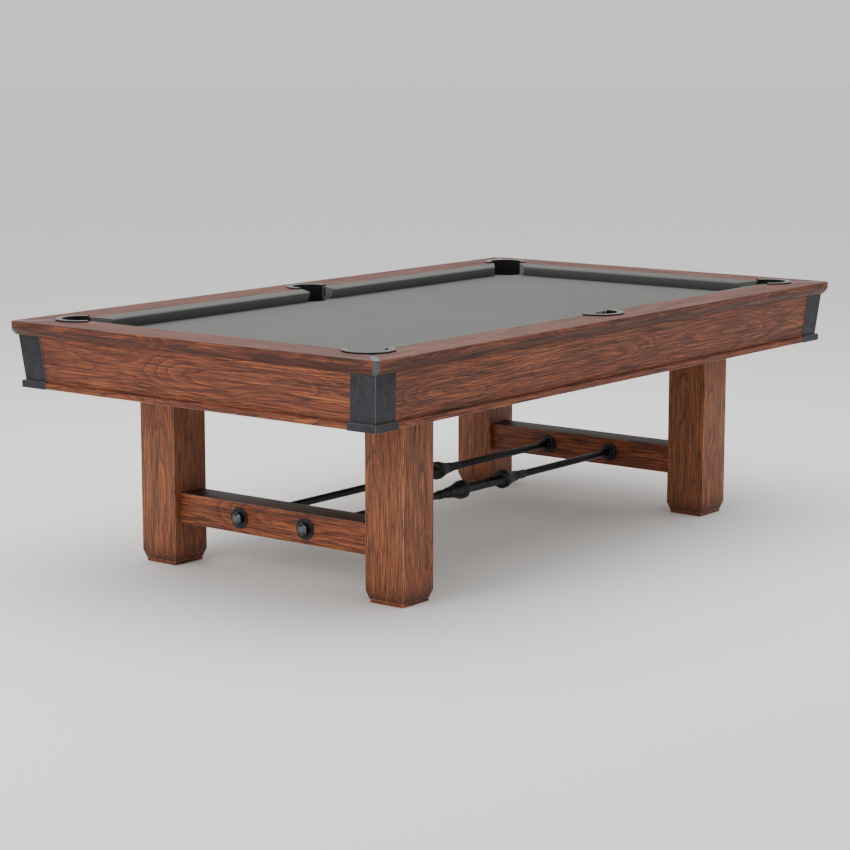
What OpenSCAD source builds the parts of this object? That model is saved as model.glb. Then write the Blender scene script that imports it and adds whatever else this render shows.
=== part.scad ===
// Pool table with six drop pockets, a three-piece slate bed, four square timber legs,
// and two steel tie rods drawn up by turnbuckles between the end stretchers.
// Origin: centre of the footprint, on the floor. X runs along the table, from the head end
// (-X) to the foot end (+X). Y runs across it, and +Y is the left side. Z is up.

/* [Playing surface] */
// Playing length, from cushion nose to cushion nose
play_l = 2235.2; // [2000:0.1:2540]
// Playing width, from cushion nose to cushion nose
play_w = 1117.6; // [1000:0.1:1270]
// Height of the wooden rail top above the floor
table_h = 815; // [740:0.5:860]
// Depth from the rail top down to the bed cloth
bed_drop = 44; // [40:0.5:50]
// Thickness of the cloth
cloth_t = 1; // [0.6:0.1:1.5]
// Thickness of the slate
slate_t = 25.4; // [19:0.1:30]
// How far the slate runs under the rails, beyond the cushion nose
slate_lap = 90; // [80:1:100]

/* [Rails] */
// Width of the cushion from its feather strip to its nose
cushion_w = 46; // [42:1:52]
// Height of the upright outer edge of a rail
fascia_h = 20; // [14:0.5:26]
// How far the underside of a rail steps in below its upright edge
chamfer_in = 16; // [10:0.5:20]
// Size of the corner that is cut off where two rails meet, along each rail
corner_chop = 14.5; // [10:0.5:20]
// Thickness of the metal strap over each mitred rail corner
strap_t = 3; // [2:0.5:4]
// Width of the feather strip that locks the cloth into the rail
strip_w = 4; // [3:0.5:6]
// Depth of the feather strip's groove below the rail top
strip_h = 7; // [5:0.5:9]
// Width of the rail ledge behind the cushion rubber, beyond the feather strip
ledge_w = 2; // [1:0.5:4]

/* [Cushions] */
// Drop of the cushion nose centre below the rail top
nose_drop = 11.5; // [9:0.5:14]
// Radius of the rubber nose
nose_r = 4; // [3:0.5:6]
// Height of the rubber's back face
rubber_h = 33; // [28:0.5:36]
// Thickness of the rubber facing on each cushion end
facing_t = 3; // [2:0.5:5]

/* [Pockets] */
// Distance of a corner pocket's centre behind both nose lines
corner_pocket_out = 30; // [26:1:36]
// Distance of a side pocket's edge behind the nose line
side_shelf = 2; // [0:0.5:5]
// Clear radius inside a pocket
pocket_r = 58; // [55:0.5:60]
// Wall of a pocket liner
liner_t = 3; // [2:0.5:4]
// Width of a pocket liner's flange
flange_w = 22; // [16:1:26]
// Height of the flange above the rail top
flange_h = 5; // [3:0.5:7]
// Depth of a pocket's floor below the bed cloth
pocket_depth = 146; // [110:1:160]
// How much half a corner mouth is wider than the pocket's radius
corner_mouth_out = 2.1; // [0:0.1:5]
// How much half a side mouth is wider than the pocket's radius
side_mouth_out = 8.5; // [5:0.5:12]
// Angle between a cushion's nose and its end face at a corner pocket
corner_facing = 142; // [138:1:145]
// Angle between a cushion's nose and its end face at a side pocket
side_facing = 104; // [100:1:108]
// Half the sweep of a corner flange
corner_sweep = 110; // [100:1:115]
// Gap between a side liner's wall and the cushions' backs
side_wall_gap = 1.3; // [0.5:0.1:6]

/* [Aprons] */
// Setback of the apron's face from the rail's outer edge, at the apron's top
apron_in = 24.4; // [20:0.1:30]
// How far the apron's face leans in between its top and its moulding
apron_lean = 14.2; // [0:0.1:20]
// Thickness of an apron board
apron_t = 22; // [18:0.5:28]
// Height of an apron board
apron_h = 167; // [150:1:190]
// Gap between a side pocket's cup and the apron behind it
cup_gap = 8.5; // [4:0.5:16]
// Height of the base moulding
mould_h = 20; // [14:0.5:28]
// How far the base moulding stands out from the apron
mould_out = 10.5; // [6:0.5:14]
// Width of a corner cap on each face
cap_w = 91; // [70:1:120]
// Thickness of a corner cap
cap_t = 2.5; // [2:0.1:4]
// Extra width of a corner cap's foot on each face
cap_foot_w = 3; // [0:0.5:8]
// How far a corner cap's foot stands out from the moulding, and hangs below it
cap_foot_t = 1.5; // [0.5:0.1:3]

/* [Frame] */
// Width of a frame beam
beam_w = 50; // [38:1:60]
// Height of a frame beam
beam_h = 94.6; // [70:0.1:110]
// Gap between the frame's outer faces and the corner pockets' cups
beam_gap = 14; // [6:1:30]
// Width of the beams that carry the slate joints
joint_beam_w = 90; // [70:1:120]
// Radius of the rail bolts
rail_bolt_r = 5; // [4:0.5:6]
// Distance of the outer bolts of a rail from the pockets at its ends
bolt_from_pocket = 220; // [160:5:300]
// How far a rail bolt enters the rail
rail_bolt_grip = 26; // [20:1:34]
// Radius of the leg bolts
leg_bolt_r = 6; // [5:0.5:8]
// How far a leg bolt enters the leg
leg_bolt_grip = 90; // [60:1:120]
// Spacing of the apron brackets
bracket_pitch = 500; // [400:10:560]
// Width of an apron bracket
bracket_w = 40; // [30:1:60]
// Thickness of an apron bracket
bracket_t = 3; // [2:0.5:4]

/* [Legs] */
// Side of a square leg
leg_w = 148; // [120:1:170]
// Setback of the legs from the table's ends
leg_end_in = 375; // [340:1:420]
// Setback of the legs from the table's sides
leg_side_in = 203.8; // [190:0.1:215]
// Height of the tapered foot of a leg
leg_taper_h = 27; // [15:0.5:40]
// How far a leg's foot tapers in on each face
leg_taper_in = 9; // [5:0.5:14]
// Height of a levelling foot's plate
foot_h = 11.7; // [8:0.1:16]
// Setback of the levelling foot from the tapered foot of the leg
foot_in = 1.2; // [0.5:0.1:4]
// Radius of a levelling foot's stud
stud_r = 6; // [5:0.5:8]
// Length of a levelling foot's stud
stud_l = 60; // [45:1:80]

/* [Stretchers and tie rods] */
// Setback of a stretcher's outer face from the leg's outer face
stretcher_in = 25; // [10:1:40]
// Thickness of a stretcher
stretcher_t = 105; // [80:1:115]
// Height of a stretcher's lower face above the floor
stretcher_z = 142; // [110:1:180]
// Height of a stretcher
stretcher_h = 98.4; // [80:0.1:120]
// Length of a stretcher's tenons
tenon_l = 30; // [20:1:45]
// Side of a stretcher's tenons
tenon_w = 56; // [40:1:70]
// Distance of a tie rod from the table's centre line
rod_y = 137; // [110:1:170]
// Radius of a tie rod
rod_r = 12.5; // [10:0.5:15]
// Radius of the outer washers
washer_r = 34; // [28:0.5:40]
// Thickness of the outer washers
washer_t = 5; // [3:0.5:8]
// How much wider a cap nut is than its rod, in radius over its corners
nut_wall = 8; // [5:0.5:11]
// Height of a cap nut
nut_h = 18; // [16:0.5:24]
// How much wider an inner flange is than its rod, in radius
rod_flange_wall = 20; // [15:0.5:26]

/* [Turnbuckles] */
// Half the length of a turnbuckle's open window
window_l = 105; // [80:1:130]
// Thickness of the rings at the ends of the window
ring_t = 23; // [16:1:30]
// Wall of the rings, around the rod
ring_wall = 19; // [16.5:0.5:24]
// Length of the flare from ring to collar
flare_l = 67; // [50:1:90]
// Wall of the flare's thin end, around the rod
flare_wall = 5.5; // [4:0.5:9]
// Length of the collars
collar_l = 50; // [30:1:70]
// Wall of the collars, around the rod
collar_wall = 2.5; // [1.5:0.5:4]
// Height of the two side bars
bar_h = 18; // [12:0.5:22]
// Thickness of the two side bars
bar_t = 10; // [7:0.5:12]
// Gap between a rod and the side bars
bar_gap = 3.5; // [2:0.5:5]
// Place of the right-hand turnbuckle along the table
right_turnbuckle_x = 15; // [-40:1:40]

/* [Fits] */
// Gap between pieces that are glued or screwed together face to face
seat_gap = 0.05; // [0.02:0.01:0.2]
// Gap around a pocket liner in the rails
liner_gap = 0.3; // [0.2:0.1:1]
// Gap around a pocket liner in the slate
slate_gap = 2; // [1:0.5:3]
// Clearance of a bolt in wood
bolt_gap = 0.1; // [0.05:0.05:0.5]
// Clearance of a rail bolt in the slate
slate_bolt_gap = 1.5; // [1:0.5:3]
// Running clearance of the turnbuckles on the rods
run_gap = 0.06; // [0.03:0.01:0.1]
// Running clearance of the studs in the legs
stud_gap = 0.08; // [0.03:0.01:0.1]
// Gap between a levelling foot and its leg when it is wound right in
foot_gap = 0.3; // [0.2:0.1:1]
// Clearance of the rods in the stretchers
rod_gap = 0.5; // [0.3:0.1:2]
// Clearance around the tenons
tenon_gap = 0.2; // [0.1:0.1:0.5]

/* [Hidden] */
$fn = 72;

// A pocket is drilled behind the nose line, and its cup clears the leaning apron behind it.
// That sets the width of a rail, from its outer edge to the cushion nose.
liner_r = pocket_r + liner_t;
side_pocket_out = pocket_r + side_shelf;
lean = apron_lean / (apron_h - mould_h);
rail_w = apron_in + pocket_depth * lean + apron_t + cup_gap + liner_r + side_pocket_out;
table_l = play_l + 2 * rail_w;
table_w = play_w + 2 * rail_w;
half_l = table_l / 2;
half_w = table_w / 2;
// Rails stand on the bed cloth, and the cloth on the slate.
rail_z = table_h - bed_drop;
slate_top = rail_z - cloth_t;
slate_bottom = slate_top - slate_t;
slate_l = play_l + 2 * slate_lap;
slate_w = play_w + 2 * slate_lap;
// Widths measured in from a rail's outer edge
wood_w = rail_w - cushion_w;
groove_end = wood_w + strip_w;
sub_rail_w = groove_end + ledge_w;
// The rubber's nose stands back from the nose line by the cloth's thickness.
rubber_setback = cloth_t;
rubber_depth = rail_w - sub_rail_w - rubber_setback;
cloth_depth = cushion_w - rubber_setback;
mitre_depth = rail_w;
// Pockets
flange_r = pocket_r + flange_w;
liner_cut_r = liner_r + liner_gap;
slate_cut_r = liner_r + slate_gap;
flange_top = table_h + flange_h;
flange_round = 2;
pocket_floor = rail_z - pocket_depth;
floor_round = 12;
liner_front_z = slate_top - 5;
corner_x = play_l / 2 + corner_pocket_out;
corner_y = play_w / 2 + corner_pocket_out;
side_y = play_w / 2 + side_pocket_out;
corner_mouth = (pocket_r + corner_mouth_out) * sqrt(2);
side_mouth = pocket_r + side_mouth_out;
corner_slope = tan(corner_facing - 90);
side_slope = tan(side_facing - 90);
corner_wall_sweep = corner_sweep + 8;
// A side liner's wall runs on past its pocket's middle to the cushions' backs.
side_wall_sweep = 90 + asin((side_pocket_out - cushion_w - side_wall_gap) / liner_r);
side_sweep = side_wall_sweep - 2;
// Aprons
apron_z = rail_z - apron_h;
mould_top = apron_z + mould_h;
mould_face = apron_in + apron_lean - mould_out;
mould_round = 4;
cap_reach = apron_in + apron_lean + cap_w;
cap_foot_reach = cap_reach + cap_foot_w;
cap_foot_top = mould_top + cap_foot_t;
// Frame
beam_z = slate_bottom - beam_h;
beam_x1 = corner_x - liner_r - beam_gap;
beam_y1 = corner_y - liner_r - beam_gap;
beam_y0 = beam_y1 - beam_w;
joint_x = slate_l / 6;
// Legs
leg_x1 = half_l - leg_end_in;
leg_x = leg_x1 - leg_w / 2;
leg_y1 = half_w - leg_side_in;
leg_y = leg_y1 - leg_w / 2;
leg_z0 = foot_h + foot_gap;
leg_bolt_pitch = 90;
leg_bolt_head_r = 11;
leg_bolt_head_h = 9;
leg_bolt_y = beam_y0 + beam_w / 2;
foot_w = leg_w - 2 * (leg_taper_in + foot_in);
stud_top = foot_h + stud_l;
stud_relief = 4;
// Stretchers and rods
stretcher_x1 = leg_x1 - stretcher_in;
stretcher_x0 = stretcher_x1 - stretcher_t;
stretcher_y = leg_y1 - leg_w;
rod_z = stretcher_z + stretcher_h / 2;
rod_end_in = 10;
rod_nose = 20;
nut_r = rod_r + nut_wall;
nut_hex_h = 12;
nut_top_r = rod_r - 2;
rod_flange_r = rod_r + rod_flange_wall;
flange_plate_t = 6;
flange_hub_l = 20;
hub_r = rod_r + 8;
hub_end_r = rod_r + 3;
// Rail bolts: three in each rail, midway between the slate's edge and the back of the rubber
rail_bolt_in = (rail_w - slate_lap + sub_rail_w) / 2;
side_bolt_x = [bolt_from_pocket, corner_x / 2, corner_x - bolt_from_pocket];
end_bolt_y = [bolt_from_pocket - corner_y, 0, corner_y - bolt_from_pocket];
bolt_head_r = 9;
bolt_head_h = 7;
// Apron brackets
bracket_leg = 36;
side_bracket_x = [for (i = [-1.5:1:1.5]) i * bracket_pitch];
end_bracket_y = [for (i = [-0.5:1:0.5]) i * bracket_pitch];
far = 200;

wood = [0.42, 0.21, 0.14];
dark_wood = [0.30, 0.14, 0.10];
pine = [0.72, 0.58, 0.40];
felt = [0.51, 0.51, 0.50];
iron = [0.16, 0.16, 0.17];
black = [0.03, 0.03, 0.03];
zinc = [0.60, 0.61, 0.63];

// ---- Placing ----

// Draws its children in the quarter of the table that sx and sy point to.
module quarter(sx, sy)
    mirror([sx < 0 ? 1 : 0, 0, 0])
        mirror([0, sy < 0 ? 1 : 0, 0])
            children();

module all_quarters()
    for (sx = [-1, 1], sy = [-1, 1])
        quarter(sx, sy)
            children();

// Turns a piece of the left side into one of the foot end.
module swap_xy()
    mirror([1, -1, 0])
        children();

// Extrudes a section drawn in (Y, Z) along X.
module along_x(length)
    rotate([90, 0, 90])
        linear_extrude(length, center = true)
            children();

// A prism over a plan, from z0 to z1
module prism(z0, z1)
    translate([0, 0, z0])
        linear_extrude(z1 - z0)
            children();

// A box from its low corner to its high corner
module block(low, high)
    translate(low)
        cube(high - low);

// ---- Plans shared by the rails, cushions, cloths and slates ----

// The mouth of the corner pocket in the +X +Y quarter, between the two cushion ends
module corner_mouth_plan()
    translate([play_l / 2, play_w / 2])
        polygon([
            [-corner_mouth - far * corner_slope, -far],
            [-corner_mouth + cushion_w * corner_slope, cushion_w],
            [cushion_w, -corner_mouth + cushion_w * corner_slope],
            [-far, -corner_mouth - far * corner_slope]
        ]);

// The mouth of the +Y side pocket
module side_mouth_plan()
    translate([0, play_w / 2])
        polygon([
            [-side_mouth - far * side_slope, -far],
            [side_mouth + far * side_slope, -far],
            [side_mouth - cushion_w * side_slope, cushion_w],
            [-side_mouth + cushion_w * side_slope, cushion_w]
        ]);

module pocket_circles(r) {
    all_quarters()
        translate([corner_x, corner_y])
            circle(r);
    for (sy = [-1, 1])
        translate([0, sy * side_y])
            circle(r);
}

module mouths() {
    all_quarters()
        corner_mouth_plan();
    for (sy = [-1, 1])
        quarter(1, sy)
            side_mouth_plan();
}

// Plan of a cushion on the +Y side whose nose is at y0. Each end is [x at the nose, change of x
// for each millimetre back from the nose]; depth is how far back the plan runs.
module cushion_plan(y0, start, end, depth)
    polygon([
        [start[0], y0],
        [end[0], y0],
        [end[0] + end[1] * depth, y0 + depth],
        [start[0] + start[1] * depth, y0 + depth]
    ]);

side_end = [side_mouth, -side_slope];
long_end = [play_l / 2 - corner_mouth, corner_slope];
short_end = [play_w / 2 - corner_mouth, corner_slope];
short_start = [-short_end[0], -corner_slope];
// The same end, moved back along the nose by a thickness measured square to the end face
function inset(end, angle, t, way) = [end[0] + way * t / sin(angle), end[1]];

// ---- Rails ----

// Section of a rail on the +Y side whose outer face is at y
function rail_section(y) = [
    [y, table_h], [y, table_h - fascia_h], [y - chamfer_in, rail_z],
    [y - sub_rail_w, rail_z], [y - sub_rail_w, table_h - cloth_t],
    [y - groove_end, table_h - cloth_t], [y - groove_end, table_h - strip_h],
    [y - wood_w, table_h - strip_h], [y - wood_w, table_h]
];

// Outer shape of the rail frame, shrunk by t, and carried down to z0
function edge_section(y, t, z0) = [
    [-y, z0], [y - chamfer_in - t, z0], [y - chamfer_in - t, rail_z],
    [y - t, table_h - fascia_h], [y - t, table_h - t], [-y, table_h - t]
];

module corner_envelope(t, z0)
    intersection() {
        along_x(table_l)
            polygon(edge_section(half_w, t, z0));
        swap_xy()
            along_x(table_w)
                polygon(edge_section(half_l, t, z0));
        prism(z0, table_h)
            translate([half_l, half_w])
                polygon([
                    [-corner_chop - t * sqrt(2), 0], [0, -corner_chop - t * sqrt(2)],
                    [0, -mitre_depth], [-mitre_depth, -mitre_depth], [-mitre_depth, 0]
                ]);
    }

// The band of a strap, centred on the mitre and as wide as the cut corner
module strap_band(z0, z1)
    prism(z0, z1)
        translate([half_l, half_w])
            rotate([0, 0, 45])
                translate([-2 * mitre_depth, -corner_chop / sqrt(2)])
                    square([3 * mitre_depth, corner_chop * sqrt(2)]);

// The strap lies along the mitre of two rails and turns down over their cut corner.
module corner_strap()
    difference() {
        intersection() {
            corner_envelope(0, rail_z);
            strap_band(rail_z - 1, table_h + 1);
        }
        corner_envelope(strap_t, rail_z - 2);
        prism(rail_z - 1, table_h + 1)
            translate([corner_x, corner_y])
                circle(liner_cut_r);
    }

// What the rails lose under a strap, with the corner that is cut off
module strap_recess()
    difference() {
        strap_band(rail_z - 1, table_h + 1);
        corner_envelope(strap_t, rail_z - 2);
    }

module corner_straps()
    color(iron)
        all_quarters()
            corner_strap();

module rail_bolt_holes(r, z0, z1) {
    for (sx = [-1, 1], sy = [-1, 1], x = side_bolt_x)
        translate([sx * x, sy * (half_w - rail_bolt_in), z0])
            cylinder(h = z1 - z0, r = r);
    for (sx = [-1, 1], y = end_bolt_y)
        translate([sx * (half_l - rail_bolt_in), y, z0])
            cylinder(h = z1 - z0, r = r);
}

// Everything that is cut from the rails
module rail_cuts() {
    all_quarters()
        strap_recess();
    prism(rail_z - 1, table_h + 1) {
        pocket_circles(liner_cut_r);
        mouths();
    }
    rail_bolt_holes(rail_bolt_r + bolt_gap, rail_z - 1, rail_z + rail_bolt_grip + 2);
}

module rail_long(sx, sy)
    color(wood)
        difference() {
            quarter(sx, sy)
                intersection() {
                    along_x(table_l)
                        polygon(rail_section(half_w));
                    prism(rail_z, table_h)
                        polygon([
                            [0, half_w], [half_l, half_w],
                            [half_l - mitre_depth, half_w - mitre_depth], [0, half_w - mitre_depth]
                        ]);
                }
            rail_cuts();
        }

module rail_end(sx)
    color(wood)
        difference() {
            quarter(sx, 1)
                swap_xy()
                    intersection() {
                        along_x(table_w)
                            polygon(rail_section(half_l));
                        prism(rail_z, table_h)
                            polygon([
                                [-half_w, half_l], [half_w, half_l],
                                [half_w - mitre_depth, half_l - mitre_depth],
                                [-half_w + mitre_depth, half_l - mitre_depth]
                            ]);
                    }
            rail_cuts();
        }

// ---- Cushions ----

// Outline of a cushion in (distance back from the nose, height), grown by t: a flat back,
// a top that falls to the nose, a round nose, and an underside that rises to it
nose_z = table_h - nose_drop;
top_z = table_h - cloth_t;
top_fall = atan2(top_z - nose_z - nose_r, rubber_depth - nose_r);
under_rise = atan2(nose_z - nose_r - (top_z - rubber_h), rubber_depth - nose_r);
nose_steps = 8;
function nose_arc(t) = [
    for (i = [0:nose_steps])
        let (a = 90 + top_fall + i * (180 - top_fall - under_rise) / nose_steps)
        [nose_r + (nose_r + t) * cos(a), nose_z + (nose_r + t) * sin(a)]
];
function rubber_section(y) = [
    for (p = concat(nose_arc(0), [[rubber_depth, top_z - rubber_h], [rubber_depth, top_z]]))
        [y + p[0], p[1]]
];
// The cloth runs from the feather strip over the rubber and back under it. Its nose is the
// rubber's, moved out by the cloth's own thickness.
function cloth_section(y) = [
    for (p = concat(
            nose_arc(cloth_t),
            [[rubber_depth, top_z - rubber_h - cloth_t], [rubber_depth, top_z - rubber_h]],
            [for (i = [nose_steps:-1:0]) nose_arc(0)[i]],
            [[rubber_depth, top_z], [cloth_depth, top_z], [cloth_depth, table_h], [rubber_depth, table_h]]
        ))
        [y + p[0], p[1]]
];

module long_cushion(section, start, end, depth)
    intersection() {
        along_x(table_l)
            polygon(section);
        prism(rail_z, table_h)
            cushion_plan(play_w / 2, start, end, depth);
    }

module end_cushion(section, start, end, depth)
    swap_xy()
        intersection() {
            along_x(table_w)
                polygon(section);
            prism(rail_z, table_h)
                cushion_plan(play_l / 2, start, end, depth);
        }

// Pockets are cut from whatever runs up to them.
module clear_of_pockets()
    difference() {
        children();
        prism(rail_z - 1, table_h + 1)
            pocket_circles(liner_cut_r);
    }

module cushion_rubber()
    color(black)
        clear_of_pockets() {
            all_quarters()
                long_cushion(
                    rubber_section(play_w / 2 + rubber_setback),
                    inset(side_end, side_facing, facing_t, 1),
                    inset(long_end, corner_facing, facing_t, -1), rail_w);
            for (sx = [-1, 1])
                quarter(sx, 1)
                    end_cushion(
                        rubber_section(play_l / 2 + rubber_setback),
                        inset(short_start, corner_facing, facing_t, 1),
                        inset(short_end, corner_facing, facing_t, -1), rail_w);
        }

module pocket_facings()
    color(black)
        clear_of_pockets()
            all_quarters() {
                long_cushion(
                    rubber_section(play_w / 2 + rubber_setback),
                    side_end, inset(side_end, side_facing, facing_t, 1), rail_w);
                long_cushion(
                    rubber_section(play_w / 2 + rubber_setback),
                    inset(long_end, corner_facing, facing_t, -1), long_end, rail_w);
                end_cushion(
                    rubber_section(play_l / 2 + rubber_setback),
                    inset(short_end, corner_facing, facing_t, -1), short_end, rail_w);
            }

function strip_section(y) = [
    [y - wood_w, table_h - strip_h], [y - wood_w, top_z], [y - groove_end, top_z],
    [y - groove_end, table_h - strip_h]
];

module feather_strips()
    color(pine)
        clear_of_pockets() {
            all_quarters()
                long_cushion(strip_section(half_w), side_end, long_end, cushion_w);
            for (sx = [-1, 1])
                quarter(sx, 1)
                    end_cushion(strip_section(half_l), short_start, short_end, cushion_w);
        }

module cushion_cloth_long(sx, sy)
    color(felt)
        clear_of_pockets()
            quarter(sx, sy)
                long_cushion(cloth_section(play_w / 2 + rubber_setback), side_end, long_end, cushion_w);

module cushion_cloth_end(sx)
    color(felt)
        clear_of_pockets()
            quarter(sx, 1)
                end_cushion(cloth_section(play_l / 2 + rubber_setback), short_start, short_end, cushion_w);

// ---- Bed ----

// Plan of the slate or the cloth on it: each pocket is cut open to the edge.
module bed_plan()
    difference() {
        square([slate_l, slate_w], center = true);
        pocket_circles(slate_cut_r);
        all_quarters()
            translate([corner_x, corner_y])
                square(far);
        for (sy = [-1, 1])
            quarter(1, sy)
                translate([-slate_cut_r, side_y])
                    square([2 * slate_cut_r, far]);
    }

module bed_cloth()
    color(felt)
        difference() {
            prism(slate_top, rail_z)
                bed_plan();
            rail_bolt_holes(rail_bolt_r + slate_bolt_gap, slate_top - 1, rail_z + 1);
        }

module slate(x0, x1)
    color([0.35, 0.36, 0.38])
        difference() {
            intersection() {
                prism(slate_bottom, slate_top)
                    bed_plan();
                block([x0, -slate_w, slate_bottom - 1], [x1, slate_w, slate_top + 1]);
            }
            rail_bolt_holes(rail_bolt_r + slate_bolt_gap, slate_bottom - 1, slate_top + 1);
        }

// ---- Pocket liners ----

// An arc about (r, z), as (radius, height) points
function arc(r, z, round_r, from, to, step) = [
    for (a = [from:step:to]) [r + round_r * cos(a), z + round_r * sin(a)]
];

// Half section of a whole liner: a round-bottomed cup, its wall, and the flange over the rail
function liner_section() = concat(
    [[0, pocket_floor]],
    arc(liner_r - floor_round, pocket_floor + floor_round, floor_round, -90, 0, 15),
    [[liner_r, table_h], [flange_r, table_h]],
    arc(flange_r - flange_round, flange_top - flange_round, flange_round, 0, 90, 30),
    arc(pocket_r + flange_round, flange_top - flange_round, flange_round, 90, 180, 30),
    arc(liner_r - floor_round, pocket_floor + floor_round, floor_round - liner_t, 0, -90, -15),
    [[0, pocket_floor + liner_t]]
);

// Plan of what lies outside a sweep either side of a middle direction
module outside_sweep(middle, sweep)
    polygon([
        [0, 0], far * [cos(middle + sweep), sin(middle + sweep)],
        2 * far * [cos(middle + 180), sin(middle + 180)], far * [cos(middle - sweep), sin(middle - sweep)]
    ]);

// A liner whose mouth faces away from its middle direction. Its wall stops below the bed there.
module pocket(middle, sweep, wall_sweep)
    color(black)
        difference() {
            rotate_extrude()
                polygon(liner_section());
            prism(table_h, flange_top + 1)
                outside_sweep(middle, sweep);
            prism(liner_front_z, flange_top + 1)
                outside_sweep(middle, wall_sweep);
        }

module pocket_corner(sx, sy)
    quarter(sx, sy)
        translate([corner_x, corner_y, 0])
            pocket(45, corner_sweep, corner_wall_sweep);

module pocket_side(sy)
    quarter(1, sy)
        translate([0, side_y, 0])
            pocket(90, side_sweep, side_wall_sweep);

// ---- Aprons, base mouldings and corner caps ----

// Setback of the apron's face from the table's edge, at a height
function apron_face(z) = apron_in + (rail_z - z) * lean;

function apron_section(y) = [
    [y - apron_face(rail_z), rail_z], [y - apron_face(apron_z), apron_z],
    [y - apron_face(apron_z) - apron_t, apron_z], [y - apron_face(rail_z) - apron_t, rail_z]
];

module apron(half_length, y)
    color(wood)
        intersection() {
            along_x(2 * half_length)
                polygon(apron_section(y));
            prism(apron_z, rail_z)
                polygon([
                    [-half_length, y], [half_length, y],
                    [half_length - mitre_depth, y - mitre_depth],
                    [-half_length + mitre_depth, y - mitre_depth]
                ]);
        }

function mould_section(y) = concat(
    [[y - apron_face(apron_z) + seat_gap, apron_z], [y - mould_face, apron_z]],
    [for (a = [0:30:90]) [
        y - mould_face - mould_round + mould_round * cos(a), mould_top - mould_round + mould_round * sin(a)]],
    [[y - apron_face(mould_top) + seat_gap, mould_top]]
);

module base_moulding(half_length, y)
    color(wood)
        along_x(2 * (half_length - cap_foot_reach - seat_gap))
            polygon(mould_section(y));

// Leaning block that fills the table's outline from the apron's face in, grown by t, up to top
function apron_outline(y, t, top) = [
    [-y, top], [y - apron_face(top) + t, top],
    [y - apron_face(apron_z - far) + t, apron_z - far], [-y, apron_z - far]
];

module apron_block(t)
    intersection() {
        along_x(table_l)
            polygon(apron_outline(half_w, t, rail_z));
        swap_xy()
            along_x(table_w)
                polygon(apron_outline(half_l, t, rail_z));
    }

// A cap wraps the corner of two aprons and spreads over the moulding in a square foot. Its
// upright edges lean with the aprons' corner.
module corner_cap(sx, sy)
    color(iron)
        quarter(sx, sy)
            difference() {
                union() {
                    difference() {
                        intersection() {
                            apron_block(cap_t);
                            block([0, 0, mould_top], [half_l, half_w, rail_z]);
                        }
                        along_x(2 * table_l)
                            polygon(apron_outline(half_w, -cap_w, rail_z + far));
                        swap_xy()
                            along_x(2 * table_w)
                                polygon(apron_outline(half_l, -cap_w, rail_z + far));
                    }
                    block(
                        [half_l - cap_foot_reach, half_w - cap_foot_reach, apron_z - cap_foot_t],
                        [half_l - mould_face + cap_foot_t, half_w - mould_face + cap_foot_t, cap_foot_top]);
                }
                apron_block(seat_gap);
            }

// ---- Frame ----

module side_beams()
    color(pine)
        difference() {
            for (sy = [-1, 1])
                quarter(1, sy)
                    block([-beam_x1, beam_y0, beam_z], [beam_x1, beam_y1, slate_bottom]);
            leg_bolt_shapes(leg_bolt_r + bolt_gap, leg_bolt_head_r + 1, slate_bottom + 1);
        }

module cross_beam(x, width)
    block([x - width / 2, -beam_y0, beam_z], [x + width / 2, beam_y0, slate_bottom]);

module cross_beams()
    color(pine) {
        cross_beam(0, beam_w);
        for (sx = [-1, 1])
            quarter(sx, 1) {
                cross_beam(joint_x, joint_beam_w);
                cross_beam(leg_x, beam_w);
                block([beam_x1, -beam_y1, beam_z], [beam_x1 + beam_w, beam_y1, slate_bottom]);
            }
    }

module hex_head(r, h)
    cylinder(h = h, r = r, $fn = 6);

module rail_bolts()
    color(zinc) {
        rail_bolt_holes(rail_bolt_r, slate_bottom - 1, rail_z + rail_bolt_grip);
        for (sx = [-1, 1], sy = [-1, 1], x = side_bolt_x)
            translate([sx * x, sy * (half_w - rail_bolt_in), slate_bottom - bolt_head_h])
                hex_head(bolt_head_r, bolt_head_h);
        for (sx = [-1, 1], y = end_bolt_y)
            translate([sx * (half_l - rail_bolt_in), y, slate_bottom - bolt_head_h])
                hex_head(bolt_head_r, bolt_head_h);
    }

// Shank of radius r, with a head or a counterbore of radius head_r up to head_top
module leg_bolt_shapes(r, head_r, head_top)
    all_quarters()
        for (i = [-1, 1])
            translate([leg_x + i * leg_bolt_pitch / 2, leg_bolt_y, 0]) {
                translate([0, 0, beam_z - leg_bolt_grip])
                    cylinder(h = slate_bottom - 2 * leg_bolt_head_h - beam_z + leg_bolt_grip + 1, r = r);
                translate([0, 0, slate_bottom - 2 * leg_bolt_head_h])
                    cylinder(h = head_top - slate_bottom + 2 * leg_bolt_head_h, r = head_r);
            }

module leg_bolts()
    color(zinc)
        leg_bolt_shapes(leg_bolt_r, leg_bolt_head_r, slate_bottom - leg_bolt_head_h);

// A bent strip that hangs the apron from the rail, on the +Y side at x
module apron_bracket(x, y) {
    s = apron_face(rail_z) + apron_t + seat_gap;
    translate([x, 0, 0])
        along_x(bracket_w)
            polygon([
                [y - s, rail_z], [y - s - bracket_leg, rail_z],
                [y - s - bracket_leg, rail_z - bracket_t], [y - s - bracket_t, rail_z - bracket_t],
                [y - s - bracket_t - lean * bracket_leg, rail_z - bracket_leg],
                [y - s - lean * bracket_leg, rail_z - bracket_leg]
            ]);
}

module apron_brackets()
    color(zinc) {
        for (sy = [-1, 1], x = side_bracket_x)
            quarter(1, sy)
                apron_bracket(x, half_w);
        for (sx = [-1, 1], y = end_bracket_y)
            quarter(sx, 1)
                swap_xy()
                    apron_bracket(y, half_l);
    }

// ---- Legs and levelling feet ----

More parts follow.
